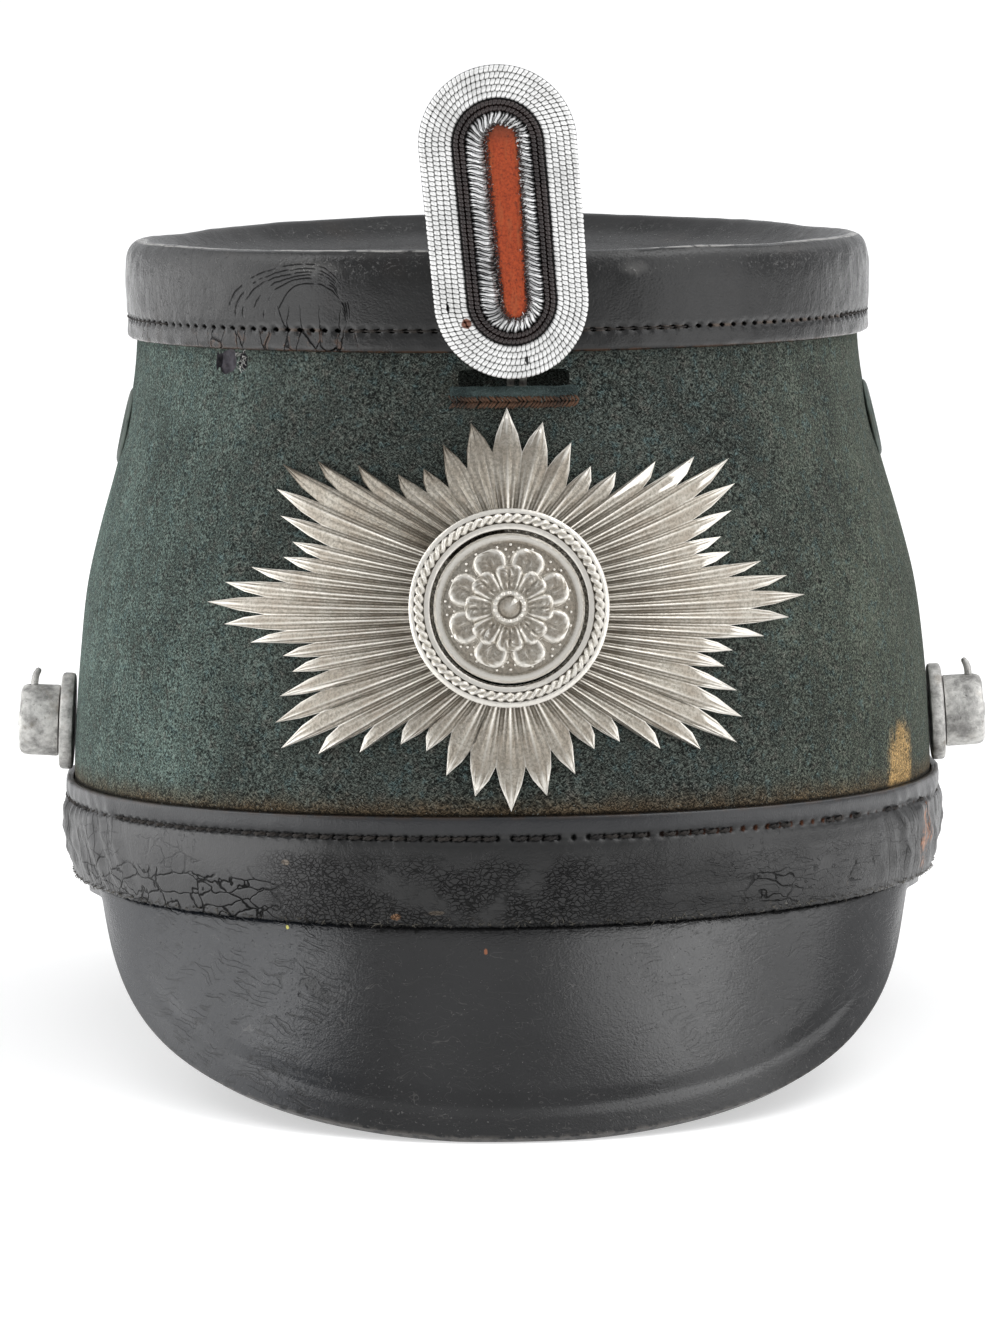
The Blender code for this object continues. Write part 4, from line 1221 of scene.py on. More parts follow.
def makeBullion(finish):
    look = cockade["bullion"]
    lines = []
    for shift, share, lower in cockade["bullionLoops"]:
        line = []
        for i in range(11):
            t = i / 10
            lean = cockade["bullionLean"] * sin((t - 0.5) * pi * 1.3)
            across = look["half"] * (2 * t - 1)
            tall = look["low"] + (look["out"] - look["low"] - lower) * sin(pi * t) ** 0.6
            thick = share if 0 < i < 10 else share * 0.7
            line.append(((look["pitch"] * (shift + lean), across, tall), thick))
        lines.append(line)
    unit = wires("bullion_loops", lines, look["radius"], 1)
    # painted shade: the loops are darker low by the backing and where their faces turn sideways
    low = [1 - rise(0.5, 1.8, v.co.z + 0.3) for v in unit.data.vertices]
    beside = [0.7 * rise(0.35, 0.95, abs(v.normal.x)) for v in unit.data.vertices]
    markPoints(unit, "groove", [max(pair) for pair in zip(low, beside)])
    length = 4 * cockade["straight"] + tau * look["path"]
    row = layOn(unit, longPath(look["path"]), length, look["pitch"])

    def wander(point):  # the worn loops don't lie straight
        return slim(point + pushes(point, cockade["wander"]))

    shapeBy(row, wander)
    return settle(row, finish, "bullion", "cockade_bullion", place=cockadePlace, smooth=70)


def longPlace(radius, share):  # a place on a long path, and the way out of it
    straight, turn = 2 * cockade["straight"], pi * radius
    at = (share % 1) * 2 * (straight + turn)
    side = 1
    if at > straight + turn:
        at -= straight + turn
        side = -1
    if at < straight:
        return Vector((radius * side, (at - straight / 2) * side, 0)), Vector((side, 0, 0))
    angle = (at - straight) / radius
    out = Vector((cos(angle), sin(angle), 0)) * side
    return Vector((0, straight / 2 * side, 0)) + out * radius, out


def makeShortFibres(name, count, radius, spread, length, thick, tall, finish):  # frayed ends on the cockade
    lines = []
    for i in range(count):
        shift = shake(i * 2.3, 3, 9)
        bend = shake(i * 1.3, 7, 4)
        start, out = longPlace(radius, i / count + shift.x * 0.01)
        start = centreSide(start + out * spread * shift.y * 2)
        way = Vector((bend.x, bend.y, 0)) * 1.2 + out * 0.5
        line = []
        for t in (0.0, 0.5, 1.0):
            point = start + way * length * t + Vector((bend.y, bend.x, 0)) * 0.4 * t * t
            point.z = tall + 0.35 * bend.z + 0.3 * sin(pi * t)
            line.append((point, 1 - 0.5 * t))
        lines.append(line)
    return settle(wires(name, lines, thick, 0), finish, None, place=cockadePlace, smooth=60)


def makeCockadeBacking(finish):
    board = pullApart(turnRings("cockade_board", cockade["board"], 127))
    return settle(shapeBy(board, slim), finish, "leather", "cockade_backing", place=cockadePlace)


def centreSide(point):  # the cloth lies a little to the right, and narrows downwards
    t = (point.y + 18) / 36
    point.x = point.x * (0.84 + 0.28 * rise(0, 1, t)) + 0.35 + 0.5 * rise(0.1, 0.8, t)
    point.y *= cockade["centreLonger"]
    return point


def makeCockadeCentre(finish):
    cloth = pullApart(turnRings("cockade_cloth", smoothRows(cockade["centre"], 3), 63))
    startEdit(cloth)
    pick(lambda point: point.z > 0.4)
    bpy.ops.mesh.subdivide(number_cuts=2)
    endEdit()

    def crumple(point):
        point = centreSide(point)
        push = pushes(point, cockade["crumple"])
        sway = 0.35 * wave(2, point.y / 3.5, 7)
        return point + Vector((push.x + sway, push.y, push.z * 0.7))

    shapeBy(cloth, crumple)
    return settle(cloth, finish, "orange_cloth", "cockade_centre", place=cockadePlace, smooth=80)


# The star plate, modelled flat and then laid on the felt: X right, Y up, Z out

star = {
    "height": 58.2,
    "side": 1.2,
    "groups": 8,
    "lengths": (0.74, 0.84, 0.93, 1.0, 0.93, 0.84, 0.74),
    "halfWidth": 64.0,
    "halfHeight": 37.5,
    "disc": 14.0,
    "wall": 1.0,
    "ridge": 1.5,
    "offset": 0.35,
    "valley": 0.87,
    "ridgeRows": (  # (share of the half width, height)
        (0.0, 1.0), (0.08, 0.93), (0.22, 0.86), (0.34, 0.52),
        (0.42, 0.60), (0.72, 0.42), (0.84, 0.1), (1.0, 0.0),
    ),
    "corner": 0.84,  # where a ray leaves its neighbours
    "base": 2.8,  # of the ring and the boss
    "ring": 16.2,
    "ringSection": (  # (out from the ring's middle, up from the base)
        (-1.9, 0), (-1.9, 0.7), (-1.55, 1.0), (-0.95, 0.95), (-0.85, 0.6),
        (0.85, 0.6), (0.95, 0.95), (1.55, 1.0), (1.9, 0.7), (1.9, 0),
    ),
    "ropeUp": 1.15,
    "rope": {"pitch": 3.4, "strand": 0.55, "apart": 0.4, "steps": 12, "sides": 8},
    "boss": (  # (radius, up from the base), as in the button
        (0, 0), (13.6, 0), (13.6, 0.5), (13.1, 0.9), (12.3, 0.8), (11.8, 0.4), (9, 0.9), (5, 1.5), (0, 1.7),
    ),
    "button": ((0, 1), (3.1, 1.6), (3.2, 3.0), (2.8, 3.7), (2.2, 3.8), (1.9, 3.5), (1.2, 3.9), (0, 4.2)),
    "petals": 8,  # in each ring of (reach, width, height, start, turn)
    "petalRings": ((11.2, 3.5, 2.0, 3.0, 0.5), (8.0, 2.9, 2.8, 2.2, 0.0)),
    "beads": {"count": 14, "radius": 0.42, "away": 2.5, "up": 3.7},
    "dots": {"count": 90, "radius": 0.28, "away": 9.3, "spread": 2.2, "up": 0.85, "turn": 0.61803},
}


def layOnFelt(piece):
    def lay(point):
        height = star["height"] + point.y
        angle = angleAlong(star["side"] + point.x, height)
        return feltPlace(angle, height, point.z + star["offset"]).translation

    return shapeBy(piece, lay)


def makeRays(finish):
    rays = star["groups"] * len(star["lengths"])
    width = tau / rays
    half = len(star["lengths"]) // 2
    lengths = [star["lengths"][(i + half) % len(star["lengths"])] for i in range(rays)]

    def reachTo(turn, reach):
        return Vector((star["halfWidth"] * sin(turn) * reach, star["halfHeight"] * cos(turn) * reach, 0))

    pieces = []
    for i in range(rays):
        ray = startGrid("ray", 16, 9)
        startEdit(ray)
        bpy.ops.mesh.extrude_region_move(TRANSFORM_OT_translate={"value": (0, 0, 1)})
        endEdit()
        turn, reach = i * width, lengths[i]
        tip = reachTo(turn, reach)

        def shape(point):
            t = (point.y + 1) / 2
            sign = 1 if point.x > 0 else -1
            beside = turn + sign * width / 2
            notch = reachTo(beside, min(reach, lengths[(i + sign) % rays]) * star["valley"])
            root = Vector((sin(beside), cos(beside), 0)) * star["disc"]
            middle = (Vector((sin(turn), cos(turn), 0)) * star["disc"]).lerp(tip, t)
            corner = star["corner"]
            side = root.lerp(notch, t / corner)
            if t >= corner:
                side = notch.lerp(tip, (t - corner) / (1 - corner))
            place = middle.lerp(side, abs(point.x))
            if point.z > 0.5:
                crest = star["ridge"] * (1 - t * 0.92)
                high = valueAt(star["ridgeRows"], abs(point.x))[0]
                place.z = star["wall"] * (1 - 0.2 * t) + crest * high * (1 - rise(0.9, 1, t) * 0.5)
            return place

        pieces.append(shapeBy(ray, shape))
    rays = closeUp(layOnFelt(joinAll("star_rays", pieces)), 0.0001)
    return settle(rays, finish, "silver", "plate_star", smooth=25)


def ropeTurn(rope):  # one turn of a rope of two strands, along X
    ring = {"vertices": rope["sides"], "radius": rope["strand"], "location": (0, rope["apart"], 0)}
    turn = startPiece("rope", bpy.ops.mesh.primitive_circle_add, rotation=(0, pi / 2, 0), **ring)
    startEdit(turn)
    step = (rope["pitch"] / rope["steps"], 0, 0)
    for _ in range(rope["steps"]):
        bpy.ops.mesh.extrude_region_move(TRANSFORM_OT_translate={"value": step})
        bpy.ops.transform.rotate(value=tau / rope["steps"], orient_axis="X", center_override=(0, 0, 0))
    bpy.ops.mesh.select_all(action="SELECT")
    bpy.ops.mesh.duplicate()
    bpy.ops.transform.rotate(value=pi, orient_axis="X", center_override=(0, 0, 0))
    endEdit()
    return turn


def makeStarRing(finish):
    base, middle = star["base"], star["ring"]
    profile = [(middle + out, base + up) for out, up in star["ringSection"]]
    flat = turnRings("ring_flat", profile, 128, closed=True)
    unit = ropeTurn(star["rope"])
    startPiece("path", bpy.ops.mesh.primitive_circle_add, vertices=128, radius=middle)
    bpy.ops.object.convert(target="CURVE")
    rope = layOn(unit, bpy.context.object, tau * middle, star["rope"]["pitch"])
    rope.data.transform(Matrix.Translation((0, 0, base + star["ropeUp"])))
    ring = layOnFelt(joinAll("star_ring", [flat, rope]))
    return settle(ring, finish, "silver", "plate_ring", smooth=45)


def polar(turn, away, up):  # a place on the flat plate
    return away * sin(turn), away * cos(turn), up


def makeBoss(finish):
    base = star["base"]
    pieces = [turnRings("boss_disc", [(radius, base + up) for radius, up in star["boss"]], 96)]
    for reach, wide, tall, start, turned in star["petalRings"]:
        for i in range(star["petals"]):
            petal = startPiece("petal", bpy.ops.mesh.primitive_uv_sphere_add, segments=28, ring_count=16)
            spin = Matrix.Rotation(tau * (i + turned) / star["petals"], 4, "Z")

            def shape(point):  # a rim along its sides, a vein down its middle and fine ribs between
                t = (point.y + 1) / 2
                half = sqrt(max(1 - point.y**2, 0.0001))
                side = point.x / half
                notch = 1 - 0.14 * near(abs(side), 0, 0.3) * rise(0.85, 1, t)
                outline = half ** 0.7 * (0.45 + 0.75 * t) * notch
                relief = 0.78 - 0.45 * side**2 + 0.30 * near(abs(side), 0.74, 0.16)
                relief += 0.07 * cos(side * 22) * (1 - abs(side)) - 0.26 * near(side, 0, 0.10)
                up = base + 0.4 + (tall * relief * half ** 0.5 * (0.55 + 0.45 * t) if point.z > 0 else 0)
                return spin @ Vector((side * wide * outline, start + (reach - start) * t, up))

            pieces.append(shapeBy(petal, shape))
    pieces.append(turnRings("button", [(radius, base + up) for radius, up in star["button"]], 48))
    beads, dots = star["beads"], star["dots"]
    for i in range(beads["count"]):
        place = polar(tau * i / beads["count"], beads["away"], base + beads["up"])
        pieces.append(startBall("bead", 2, beads["radius"], place))
    for i in range(dots["count"]):  # the punched ground round the rosette
        away = dots["away"] + dots["spread"] * (i / dots["count"])
        place = polar(tau * i * dots["turn"], away, base + dots["up"])
        pieces.append(startBall("dot", 1, dots["radius"], place))
    boss = layOnFelt(joinAll("star_boss", pieces))
    return settle(boss, finish, "silver", "plate_boss", smooth=40)


# The pocket behind the cockade

pocket = {
    "height": 101.2,
    "side": 2.6,
    "halfWidth": 10.5,
    "open": 3.4,
    "cut": 14,
    "corner": 1.1,
    "lip": 12.0,
    "lipTall": 2.3,
    "lipOut": 0.9,
    "lipThick": 0.6,
    "pitch": 0.66,  # of the stitches, in two slanting rows
    "rows": 1.15,
    "thread": 0.25,
    "fuzz": 420,
    "fuzzThick": 0.07,
}


def cutPocket(body, card):
    wall = feltPoint(0, pocket["height"]).y
    size = {"size": 1, "location": (pocket["side"], wall, pocket["height"])}
    slit = startPiece("slit", bpy.ops.mesh.primitive_cube_add, **size)
    middle = Vector(size["location"])
    grow = Vector((2 * pocket["halfWidth"], pocket["cut"], pocket["open"]))
    shapeBy(slit, lambda point: middle + (point - middle) * grow)
    addStep(slit, "BEVEL", width=pocket["corner"], segments=4)
    slit.data.materials.append(card)
    cutWith(body, slit)


def makePocketLip(finish):
    lip = startGrid("pocket_lip", 48, 14)
    top = pocket["height"] - pocket["open"] / 2 + 0.3

    def fold(point):
        t = (point.y + 1) / 2
        height = top - pocket["lipTall"] * (1 - t)
        swell = sin(pi * min(max(t, 0.02), 0.98)) ** 0.5
        out = 0.1 + pocket["lipOut"] * swell * (1 - 0.3 * abs(point.x) ** 4)
        out += 0.14 * wave(point.x * 9, t * 2, 0)
        side = pocket["side"] + pocket["lip"] * point.x
        height += 0.25 * wave(point.x * 4, 1, 1)
        return feltPoint(angleAlong(side, height), height, out)

    shapeBy(lip, fold)
    addStep(lip, "SOLIDIFY", thickness=pocket["lipThick"], offset=-1)
    return settle(lip, finish, "binding", "pocket_binding")


def makePocketStitches(finish):  # two rows that slant towards each other, like a braid
    lines = []
    count = round(2 * pocket["lip"] / pocket["pitch"])
    top = pocket["height"] - pocket["open"] / 2 - pocket["lipTall"] + 0.9
    for i in range(count):
        shift = shake(i * 0.9, 3, 1)
        side = pocket["side"] + pocket["lip"] * (2 * (i + 0.5) / count - 1)
        for row, lean in ((0, 1), (1, -1)):
            line = []
            for t in (0.0, 0.25, 0.5, 0.75, 1.0):
                height = top - pocket["rows"] * (row + (t if lean > 0 else 1 - t)) + 0.25 * shift.y
                across = side + (t - 0.5) * 1.1 + 0.3 * shift.x
                out = 0.15 + 0.55 * sin(pi * t) + 0.25 * (1 - row) + 0.2 * shift.z
                line.append((feltPoint(angleAlong(across, height), height, out), 1 - 0.35 * abs(2 * t - 1)))
            lines.append(line)
    return settle(wires("pocket_stitches", lines, pocket["thread"], 1), finish, None, smooth=60)


def makePocketFuzz(finish):  # the worn nap of the binding
    lines = []
    for i in range(pocket["fuzz"]):
        shift = shake(i * 3.1, 1, 8)
        bend = shake(i * 1.7, 5, 5)
        side = pocket["side"] + pocket["lip"] * (2 * i / pocket["fuzz"] - 1)
        height = pocket["height"] - pocket["open"] / 2 - 0.9 + 2.2 * shift.y
        line = []
        for t in (0.0, 0.5, 1.0):
            along = side + t * bend.x * 1.6
            up = height + t * bend.y * 1.6
            line.append((feltPoint(angleAlong(along, up), up, 0.75 + 0.45 * sin(pi * t)), 1 - 0.6 * t))
        lines.append(line)
    return settle(wires("pocket_fuzz", lines, pocket["fuzzThick"], 0), finish, None, smooth=60)


# The side fittings

vent = {  # an outline is (radius, height), as in the posts
    "angle": 85.0,
    "height": 88.6,
    "sunk": -0.55,
    "bore": 6.0,
    "eyelet": (
        (4.8, -2.8), (5.7, -2.8), (5.75, -0.2), (6.2, 0.25), (7.4, 0.25), (7.75, 0.5),
        (7.6, 0.85), (6.9, 1.15), (6.0, 1.2), (5.2, 0.95), (4.85, 0.4),
    ),
    "screen": 4.9,
    "screenIn": 1.2,
    "mesh": 13,
    "wire": 0.28,
}
post = {
    "angle": 89.0,
    "height": 28.4,
    "gap": 0.3,
    "washer": (
        (0, 0), (9.2, 0), (9.6, 0.2), (9.75, 0.7), (9.75, 2.0),
        (9.55, 2.5), (9.0, 2.75), (7.9, 2.8), (0, 2.8),
    ),
    "barrelFrom": 3.1,
    "barrel": (
        (0, 0), (7.1, 0), (7.2, 0.3), (7.15, 5.9), (7.05, 6.7), (6.7, 7.4),
        (6.0, 7.75), (5.2, 7.8), (2.0, 7.85), (1.7, 7.95), (1.3, 8.2), (0, 8.3),
    ),
    "hookHeight": 5.2,  # on the barrel
    "hookHole": 1.15,
    "hook": (  # (up, leaning in, share of the radius)
        (4.8, 0.0, 1), (7.6, 0.0, 1), (8.6, 0.1, 0.98),
        (9.4, 0.35, 0.92), (10.1, 0.75, 0.8), (10.4, 0.95, 0.45),
    ),
    "hookRadius": 0.75,
}


def makeVents(body, paint, screenFinish):
    for sign, name in ((-1, "left"), (1, "right")):
        place = feltPlace(sign * vent["angle"], vent["height"], vent["sunk"])
        bore = turnRings("bore", [(0, -9), (vent["bore"], -9), (vent["bore"], 6), (0, 6)], 48)
        bore.data.transform(place)
        cutWith(body, bore)
        ring = turnRings(f"vent_eyelet_{name}", smoothRows(vent["eyelet"], 2), 72, closed=True)
        settle(ring, paint, "vent_paint", f"vent_ring_{name}", place=place)
        mesh = startGrid(f"vent_mesh_{name}", vent["mesh"], vent["mesh"], 2 * vent["screen"])
        startEdit(mesh)
        pick(lambda point: hypot(point.x, point.y) > vent["screen"])
        bpy.ops.mesh.delete(type="VERT")
        endEdit()
        shapeBy(mesh, lambda point: point + Vector((0, 0, -vent["screenIn"])))
        addStep(mesh, "WIREFRAME", thickness=vent["wire"], use_replace=True, use_even_offset=False)
        settle(mesh, screenFinish, "screen", f"vent_screen_{name}", place=place)


def makePosts(finish):
    for sign, name in ((-1, "left"), (1, "right")):
        place = feltPlace(sign * post["angle"], post["height"], post["gap"])
        disc = turnRings(f"strap_washer_{name}", post["washer"], 72)
        settle(disc, finish, "dull_alloy", f"post_washer_{name}", place=place)
        base = post["barrelFrom"]
        barrel = turnRings(f"strap_barrel_{name}", [(radius, base + up) for radius, up in post["barrel"]], 72)
        across = base + post["hookHeight"]
        slot = {"vertices": 24, "radius": post["hookHole"], "depth": 6, "rotation": (pi / 2, 0, 0)}
        hole = startPiece("hole", bpy.ops.mesh.primitive_cylinder_add, location=(0, 7.5, across), **slot)
        cutWith(barrel, hole)
        settle(barrel, finish, "dull_alloy", f"post_barrel_{name}", place=place)
        line = [((0, up, across - lean), share) for up, lean, share in post["hook"]]
        prong = wires(f"strap_hook_{name}", [line], post["hookRadius"], 4)
        settle(prong, finish, "dull_alloy", f"post_prong_{name}", place=place)


# Camera, light and floor

view = {  # where the photograph was taken from, in metres, degrees and pixels
    "target": (0, 0, 0.100),
    "azimuth": -0.2,
    "elevation": 7.1,
    "roll": -0.6,
    "distance": 1.4,
    "focal": 7000,
    "frame": (1000, 1333),
    "axisDown": 522,
    "clip": (0.05, 50),
}


def makeCamera():
    azimuth, elevation, roll = (radians(view[name]) for name in ("azimuth", "elevation", "roll"))
    back = Vector((sin(azimuth) * cos(elevation), -cos(azimuth) * cos(elevation), sin(elevation)))
    right = Vector((cos(azimuth), sin(azimuth), 0))
    up = back.cross(right)
    rolledRight = right * cos(roll) + up * sin(roll)
    rolledUp = up * cos(roll) - right * sin(roll)
    lens = bpy.data.cameras.new("camera")
    lens.lens = view["focal"] / view["frame"][1] * lens.sensor_width
    lens.clip_start, lens.clip_end = view["clip"]
    eye = bpy.data.objects.new("camera", lens)
    bpy.context.scene.collection.objects.link(eye)
    down = atan((view["frame"][1] / 2 - view["axisDown"]) / view["focal"])
    axes = Matrix((rolledRight, rolledUp, back)).transposed().to_4x4()
    place = Matrix.Translation(Vector(view["target"]) + back * view["distance"])
    eye.matrix_world = place @ axes @ Matrix.Rotation(-down, 4, "X")
    bpy.context.scene.camera = eye


light = {  # soft panels round the hat: (middle, faces, width, height, brightness), in metres
    "panels": {
        "left": ((-1.05, 0.21, 0.9), (1, 0, 0), 0.76, 1.8, 1.75),
        "leftEdge": ((-1.04, -0.07, 1.3), (1, 0, 0), 0.20, 1.1, 2.4),
        "leftLow": ((-1.05, -0.465, 0.3), (1, 0, 0), 0.43, 0.6, 2.35),
        "leftTable": ((-0.42, -0.225, 0.004), (0, 0, 1), 0.34, 0.47, 2.0),
        "leftBack": ((-1.05, 0.95, 0.9), (1, 0, 0), 0.7, 1.8, 0.55),
        "right": ((1.05, -0.45, 1.0), (-1, 0, 0), 0.9, 2.0, 1.5),
        "rightTop": ((1.05, 0.05, 2.04), (-0.6, 0, -0.8), 1.5, 1.16, 2.1),
        "rightTable": ((0.40, -0.2, 0.004), (0, 0, 1), 0.34, 0.6, 1.2),
        "rightBack": ((1.05, 0.55, 1.3), (-1, 0, 0), 1.1, 1.4, 1.15),
        "front": ((0, -1.45, 1.45), (0, 1, -0.9), 2.6, 1.2, 0.2),
        "overhead": ((0, -0.1, 2.4), (0, 0, -1), 2.0, 2.2, 0.38),
    },
    "world": (0.97, 0.98, 1.0),
    "worldStrength": 0.62,
    "floor": (0.60, 0.60, 0.60),
    "floorHalf": 12.0,
    "glowNear": (0.52, 0.52, 0.52),  # the paper is also lit from below, more so far from the hat
    "glowFar": (0.68, 0.68, 0.68),
    "glowFrom": 0.9,
    "glowFull": 2.6,
}


def makeLight():
    for name, (middle, faces, width, height, brightness) in light["panels"].items():
        panel = bpy.data.lights.new(name, "AREA")
        panel.shape = "RECTANGLE"
        panel.size, panel.size_y = width, height
        panel.energy = brightness * pi * width * height
        lamp = bpy.data.objects.new(name, panel)
        bpy.context.scene.collection.objects.link(lamp)
        lamp.location = middle
        lamp.rotation_euler = Vector(faces).to_track_quat("-Z", "Y").to_euler()
        lamp.visible_camera = False
    world = bpy.data.worlds.new("studio")
    world.use_nodes = True
    background = world.node_tree.nodes["Background"]
    background.inputs["Color"].default_value = (*light["world"], 1)
    background.inputs["Strength"].default_value = light["worldStrength"]
    bpy.context.scene.world = world
    floor = startPiece("floor", bpy.ops.mesh.primitive_plane_add, size=2 * light["floorHalf"])
    paper = bpy.data.materials.new("paper")
    paper.use_nodes = True
    point = Socket(paper.node_tree).node("ShaderNodeTexCoord", {}, {}, "Object")
    far = over(light["glowFrom"], light["glowFull"], lengthOf(point))
    glow = mixed(far, light["glowNear"], light["glowFar"])
    values = {"Base Color": light["floor"], "Roughness": 0.9, "Emission Color": glow}
    values["Emission Strength"] = 1.0
    floor.data.materials.append(endFinish(paper, values))
    bpy.context.scene.view_settings.view_transform = "Standard"


noise.seed_set(3)
makeCamera()
makeLight()
print("camera, light and floor")

feltCloth = feltFinish({
    "fibre": (0.23, 0.56),
    # middle, left and right hold painted light: the left side lighter, the right side and the middle darker
    "middle": (0.036, 0.042, 0.037),
    "left": (0.066, 0.090, 0.079),
    "right": (0.044, 0.051, 0.039),
    "worn": (0.056, 0.052, 0.045),
    "blue": (0.034, 0.058, 0.060),
    "fleck": (0.22, 0.24, 0.22),
    "rubbed": (0.055, 0.036, 0.019),
    "pocket": (0.028, 0.025, 0.016),
    "pocketDarker": ((1.0, -90.0, 99.5), (19.0, 14.0, 7.0)),  # middle and half sizes
    "stain": (0.21, 0.135, 0.055),
    "stainAt": ((117.0, -44.0, 22.0), (7.5, 15.0, 12.5)),
    # gap is a painted shadow along the top of the band
    "gap": (0.004, 0.003, 0.002),
})
card = cardFinish({
    "dark": (0.022, 0.020, 0.025),
    "light": (0.062, 0.057, 0.068),
    "fibre": (0.16, 0.14, 0.12),
})
body = makeFelt(feltCloth, card)
cutPocket(body, card)
makeLooseFibres(threadFinish("loose_wool", (0.20, 0.20, 0.19), (0.58, 0.58, 0.55)))
ventPaint = alloyFinish("vent_paint", {
    "dark": (0.045, 0.060, 0.052),
    "light": (0.095, 0.115, 0.100),
    "brown": (0.07, 0.055, 0.035),
    "pit": (0.02, 0.02, 0.02),
})
screenWire = alloyFinish("screen_wire", {
    "dark": (0.02, 0.02, 0.02),
    "light": (0.06, 0.06, 0.06),
    "brown": (0.05, 0.03, 0.02),
    "pit": (0.01, 0.01, 0.01),
})
makeVents(body, ventPaint, screenWire)
settle(body, feltCloth, "felt", "felt_body")
print("felt body and vents")

crownLeather = crownFinish({
    "dark": (0.004, 0.004, 0.004),
    "light": (0.009, 0.009, 0.009),
    "brown": (0.018, 0.012, 0.008),
    "scuff": (0.24, 0.235, 0.225),
    # painted highlight on the near rim
    "rim": (0.42, 0.41, 0.39),
    "edge": (0.050, 0.022, 0.009),
    "thread": (0.085, 0.050, 0.028),
    "scuffs": (((-35.5, -80.0, 122.3), (8.0, 16.0, 2.4)), ((25.5, -84.0, 121.6), (4.0, 12.0, 2.0))),
    "archMiddle": (-35.7, 113.2),
    "arches": (  # how far each reaches left, right and up
        (6.1, 6.7, 6.0), (9.0, 6.5, 7.0), (10.9, 6.6, 7.6),
        (13.2, 6.9, 8.2), (14.6, 7.0, 8.9), (16.0, 7.4, 9.7),
    ),
    "creaseWidth": 0.19,
    # crack and hole are painted shade in the creases, cracks and stitch holes
    "crackShade": (0.0012, 0.0012, 0.0012),
    "hole": (0.001, 0.001, 0.001),
    "gloss": 0.37,
})
makeCrown(crownLeather)
darkThread = threadFinish("dark_thread", (0.005, 0.004, 0.004), (0.019, 0.015, 0.012))
makeCrownStitches(darkThread)
print("crown cap")

bandLeather = bandFinish({
    "dark": (0.007, 0.007, 0.007),
    "light": (0.016, 0.016, 0.016),
    "strip": (0.017, 0.018, 0.021),
    # worn is a painted highlight, lighter grey on the band's left
    "worn": (0.046, 0.046, 0.047),
    "dust": (0.15, 0.14, 0.12),
    "dirt": (0.055, 0.042, 0.028),
    "rust": (0.28, 0.095, 0.022),
    "rustAt": ((84.0, -34.0, 6.5), (5.0, 6.0, 10.0)),
    "brown": (0.034, 0.019, 0.011),
    # hole and crack are painted shade; holeRust is painted shade with rust
    "hole": (0.002, 0.002, 0.002),
    "holeRust": (0.040, 0.014, 0.006),
    "crackShade": (0.001, 0.001, 0.001),
    "gloss": 0.42,
    "marks": (
        (-41.6, 10.2, 1.3, 0.8, (0.22, 0.17, 0.12)),
        (-20.7, 0.6, 1.6, 1.1, (0.20, 0.10, 0.045)),
        (-13.0, 1.5, 2.6, 0.8, (0.06, 0.045, 0.03)),
    ),
})
makeBand(bandLeather)
makeBandStitches(darkThread)
makeBandFray(threadFinish("torn_leather", (0.030, 0.026, 0.020), (0.12, 0.11, 0.09)))
print("band")

peakLeather = peakFinish({
    "dark": (0.006, 0.006, 0.0064),
    "light": (0.010, 0.010, 0.0105),
    "bluishReflection": (0.009, 0.011, 0.015),
    "dust": (0.13, 0.125, 0.12),
    "speck": (0.20, 0.19, 0.18),
    # crack is painted shade in the hairline creases
    "crackShade": (0.002, 0.002, 0.002),
    "worn": (0.11, 0.10, 0.09),
    "gloss": 0.45,
    "marks": ((-3.9, -5.4, 0.5, 0.9, (0.22, 0.075, 0.03)), (-41.4, -2.4, 0.45, 0.45, (0.55, 0.50, 0.10))),
})
makePeak("front_peak_leather", frontPeak, frontSize, peakLeather, "front_peak")
makePeak("rear_peak_leather", rearPeak, rearSize, peakLeather, "rear_peak")
print("peaks")

silver = silverFinish({
    "plain": (0.36, 0.335, 0.29),
    "warm": (0.28, 0.245, 0.20),
    "dull": (0.16, 0.145, 0.115),
    "bright": (0.80, 0.77, 0.71),
    "hollow": (0.050, 0.040, 0.028),
})
makeRays(silver)
makeStarRing(silver)
makeBoss(silver)
print("star plate")

silverCord = cordFinish("silver_cord", {
    "light": (0.86, 0.86, 0.85),
    "dark": (0.66, 0.66, 0.65),
    "fibre": (0.50, 0.50, 0.49),
    # deep is painted shade between the strands
    "deep": (0.022, 0.020, 0.018),
    "grooveShadeRange": (0.22, 0.78),
    "rough": 0.32,
    "metal": 0.25,
}, (
    (-6.2, 111.9, 1.5, 1.6, (0.17, 0.07, 0.045)),
    (-9.6, 114.9, 0.5, 1.5, (0.01, 0.01, 0.01)),
    (5.1, 104.9, 0.5, 1.4, (0.01, 0.01, 0.01)),
))
blackCord = cordFinish("black_cord", {
    "light": (0.026, 0.017, 0.016),
    "dark": (0.010, 0.006, 0.006),
    "fibre": (0.036, 0.025, 0.024),
    # deep is painted shade between the strands
    "deep": (0.002, 0.001, 0.001),
    "grooveShadeRange": (0.30, 0.90),
    "rough": 0.24,
    "metal": 0.0,
})
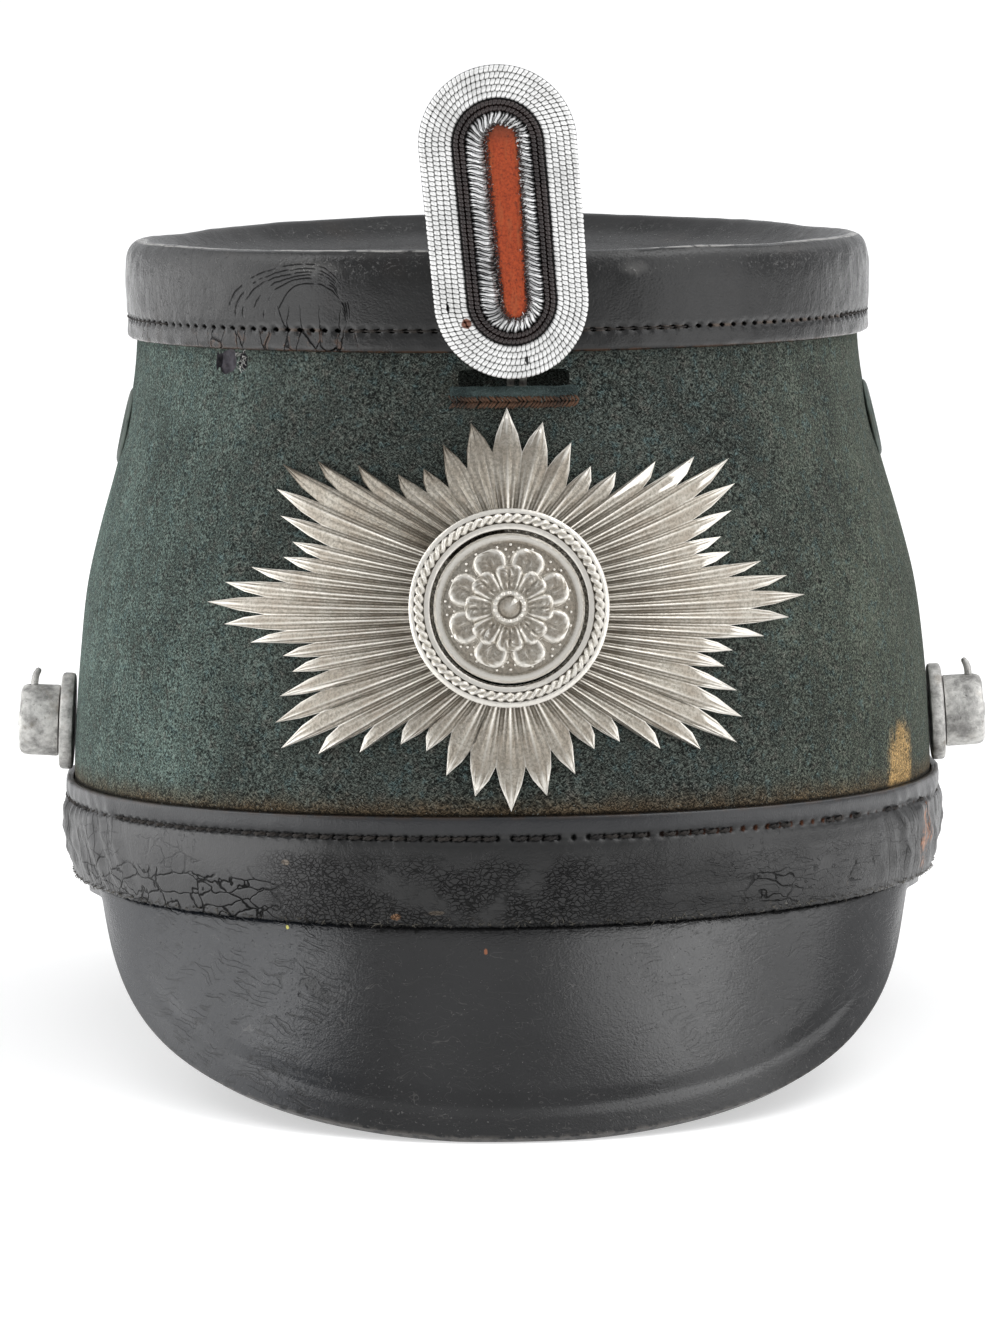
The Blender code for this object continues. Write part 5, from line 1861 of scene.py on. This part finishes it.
bullionWire = cordFinish("bullion_wire", {
    "light": (0.90, 0.90, 0.90),
    "dark": (0.40, 0.40, 0.40),
    "fibre": (0.10, 0.10, 0.10),
    # deep is painted shade between and under the loops
    "deep": (0.006, 0.006, 0.006),
    "grooveShadeRange": (0.10, 0.62),
    "rough": 0.34,
    "metal": 0.45,
})
darkFibre = threadFinish("dark_fringe", (0.010, 0.006, 0.006), (0.040, 0.022, 0.018))
makeCockadeBacking(crownLeather)
makeCords("silver_cords", cockade["silver"], silverCord, "silver_cord", "cockade_silver_cords")
makeCords("black_cords", cockade["black"], blackCord, "black_cord", "cockade_black_cords")
makeBullion(bullionWire)
makeShortFibres("silver_crinkle", cockade["crinkles"], 3.1, 0.9, 0.9, 0.075, 1.75, bullionWire)
makeShortFibres("dark_fringe", cockade["fringe"], 2.7, 0.5, 0.7, 0.085, 1.95, darkFibre)
makeCockadeCentre(centreFinish({
    "dark": (0.22, 0.028, 0.006),
    "light": (0.40, 0.060, 0.013),
    "worn": (0.35, 0.085, 0.026),
    "brown": (0.12, 0.030, 0.012),
    "deep": (0.03, 0.008, 0.005),
}))
prongWire = alloyFinish("prong_wire", {
    "dark": (0.16, 0.15, 0.13),
    "light": (0.36, 0.35, 0.32),
    "brown": (0.14, 0.10, 0.07),
    "pit": (0.06, 0.05, 0.04),
})
for name in ("cockade_prong_left", "cockade_prong_right"):
    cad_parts[name].material_slots[0].material = prongWire
print("cockade")

bindingCloth = threadFinish("binding_cloth", (0.014, 0.026, 0.026), (0.040, 0.062, 0.060))
makePocketLip(bindingCloth)
makePocketFuzz(threadFinish("worn_binding", (0.030, 0.045, 0.044), (0.075, 0.105, 0.10)))
makePocketStitches(threadFinish("rust_thread", (0.022, 0.012, 0.007), (0.085, 0.040, 0.020)))
makePosts(alloyFinish("dull_alloy", {
    "dark": (0.24, 0.235, 0.225),
    "light": (0.74, 0.73, 0.70),
    "brown": (0.27, 0.23, 0.18),
    "pit": (0.10, 0.09, 0.08),
}))
print("pocket and posts")
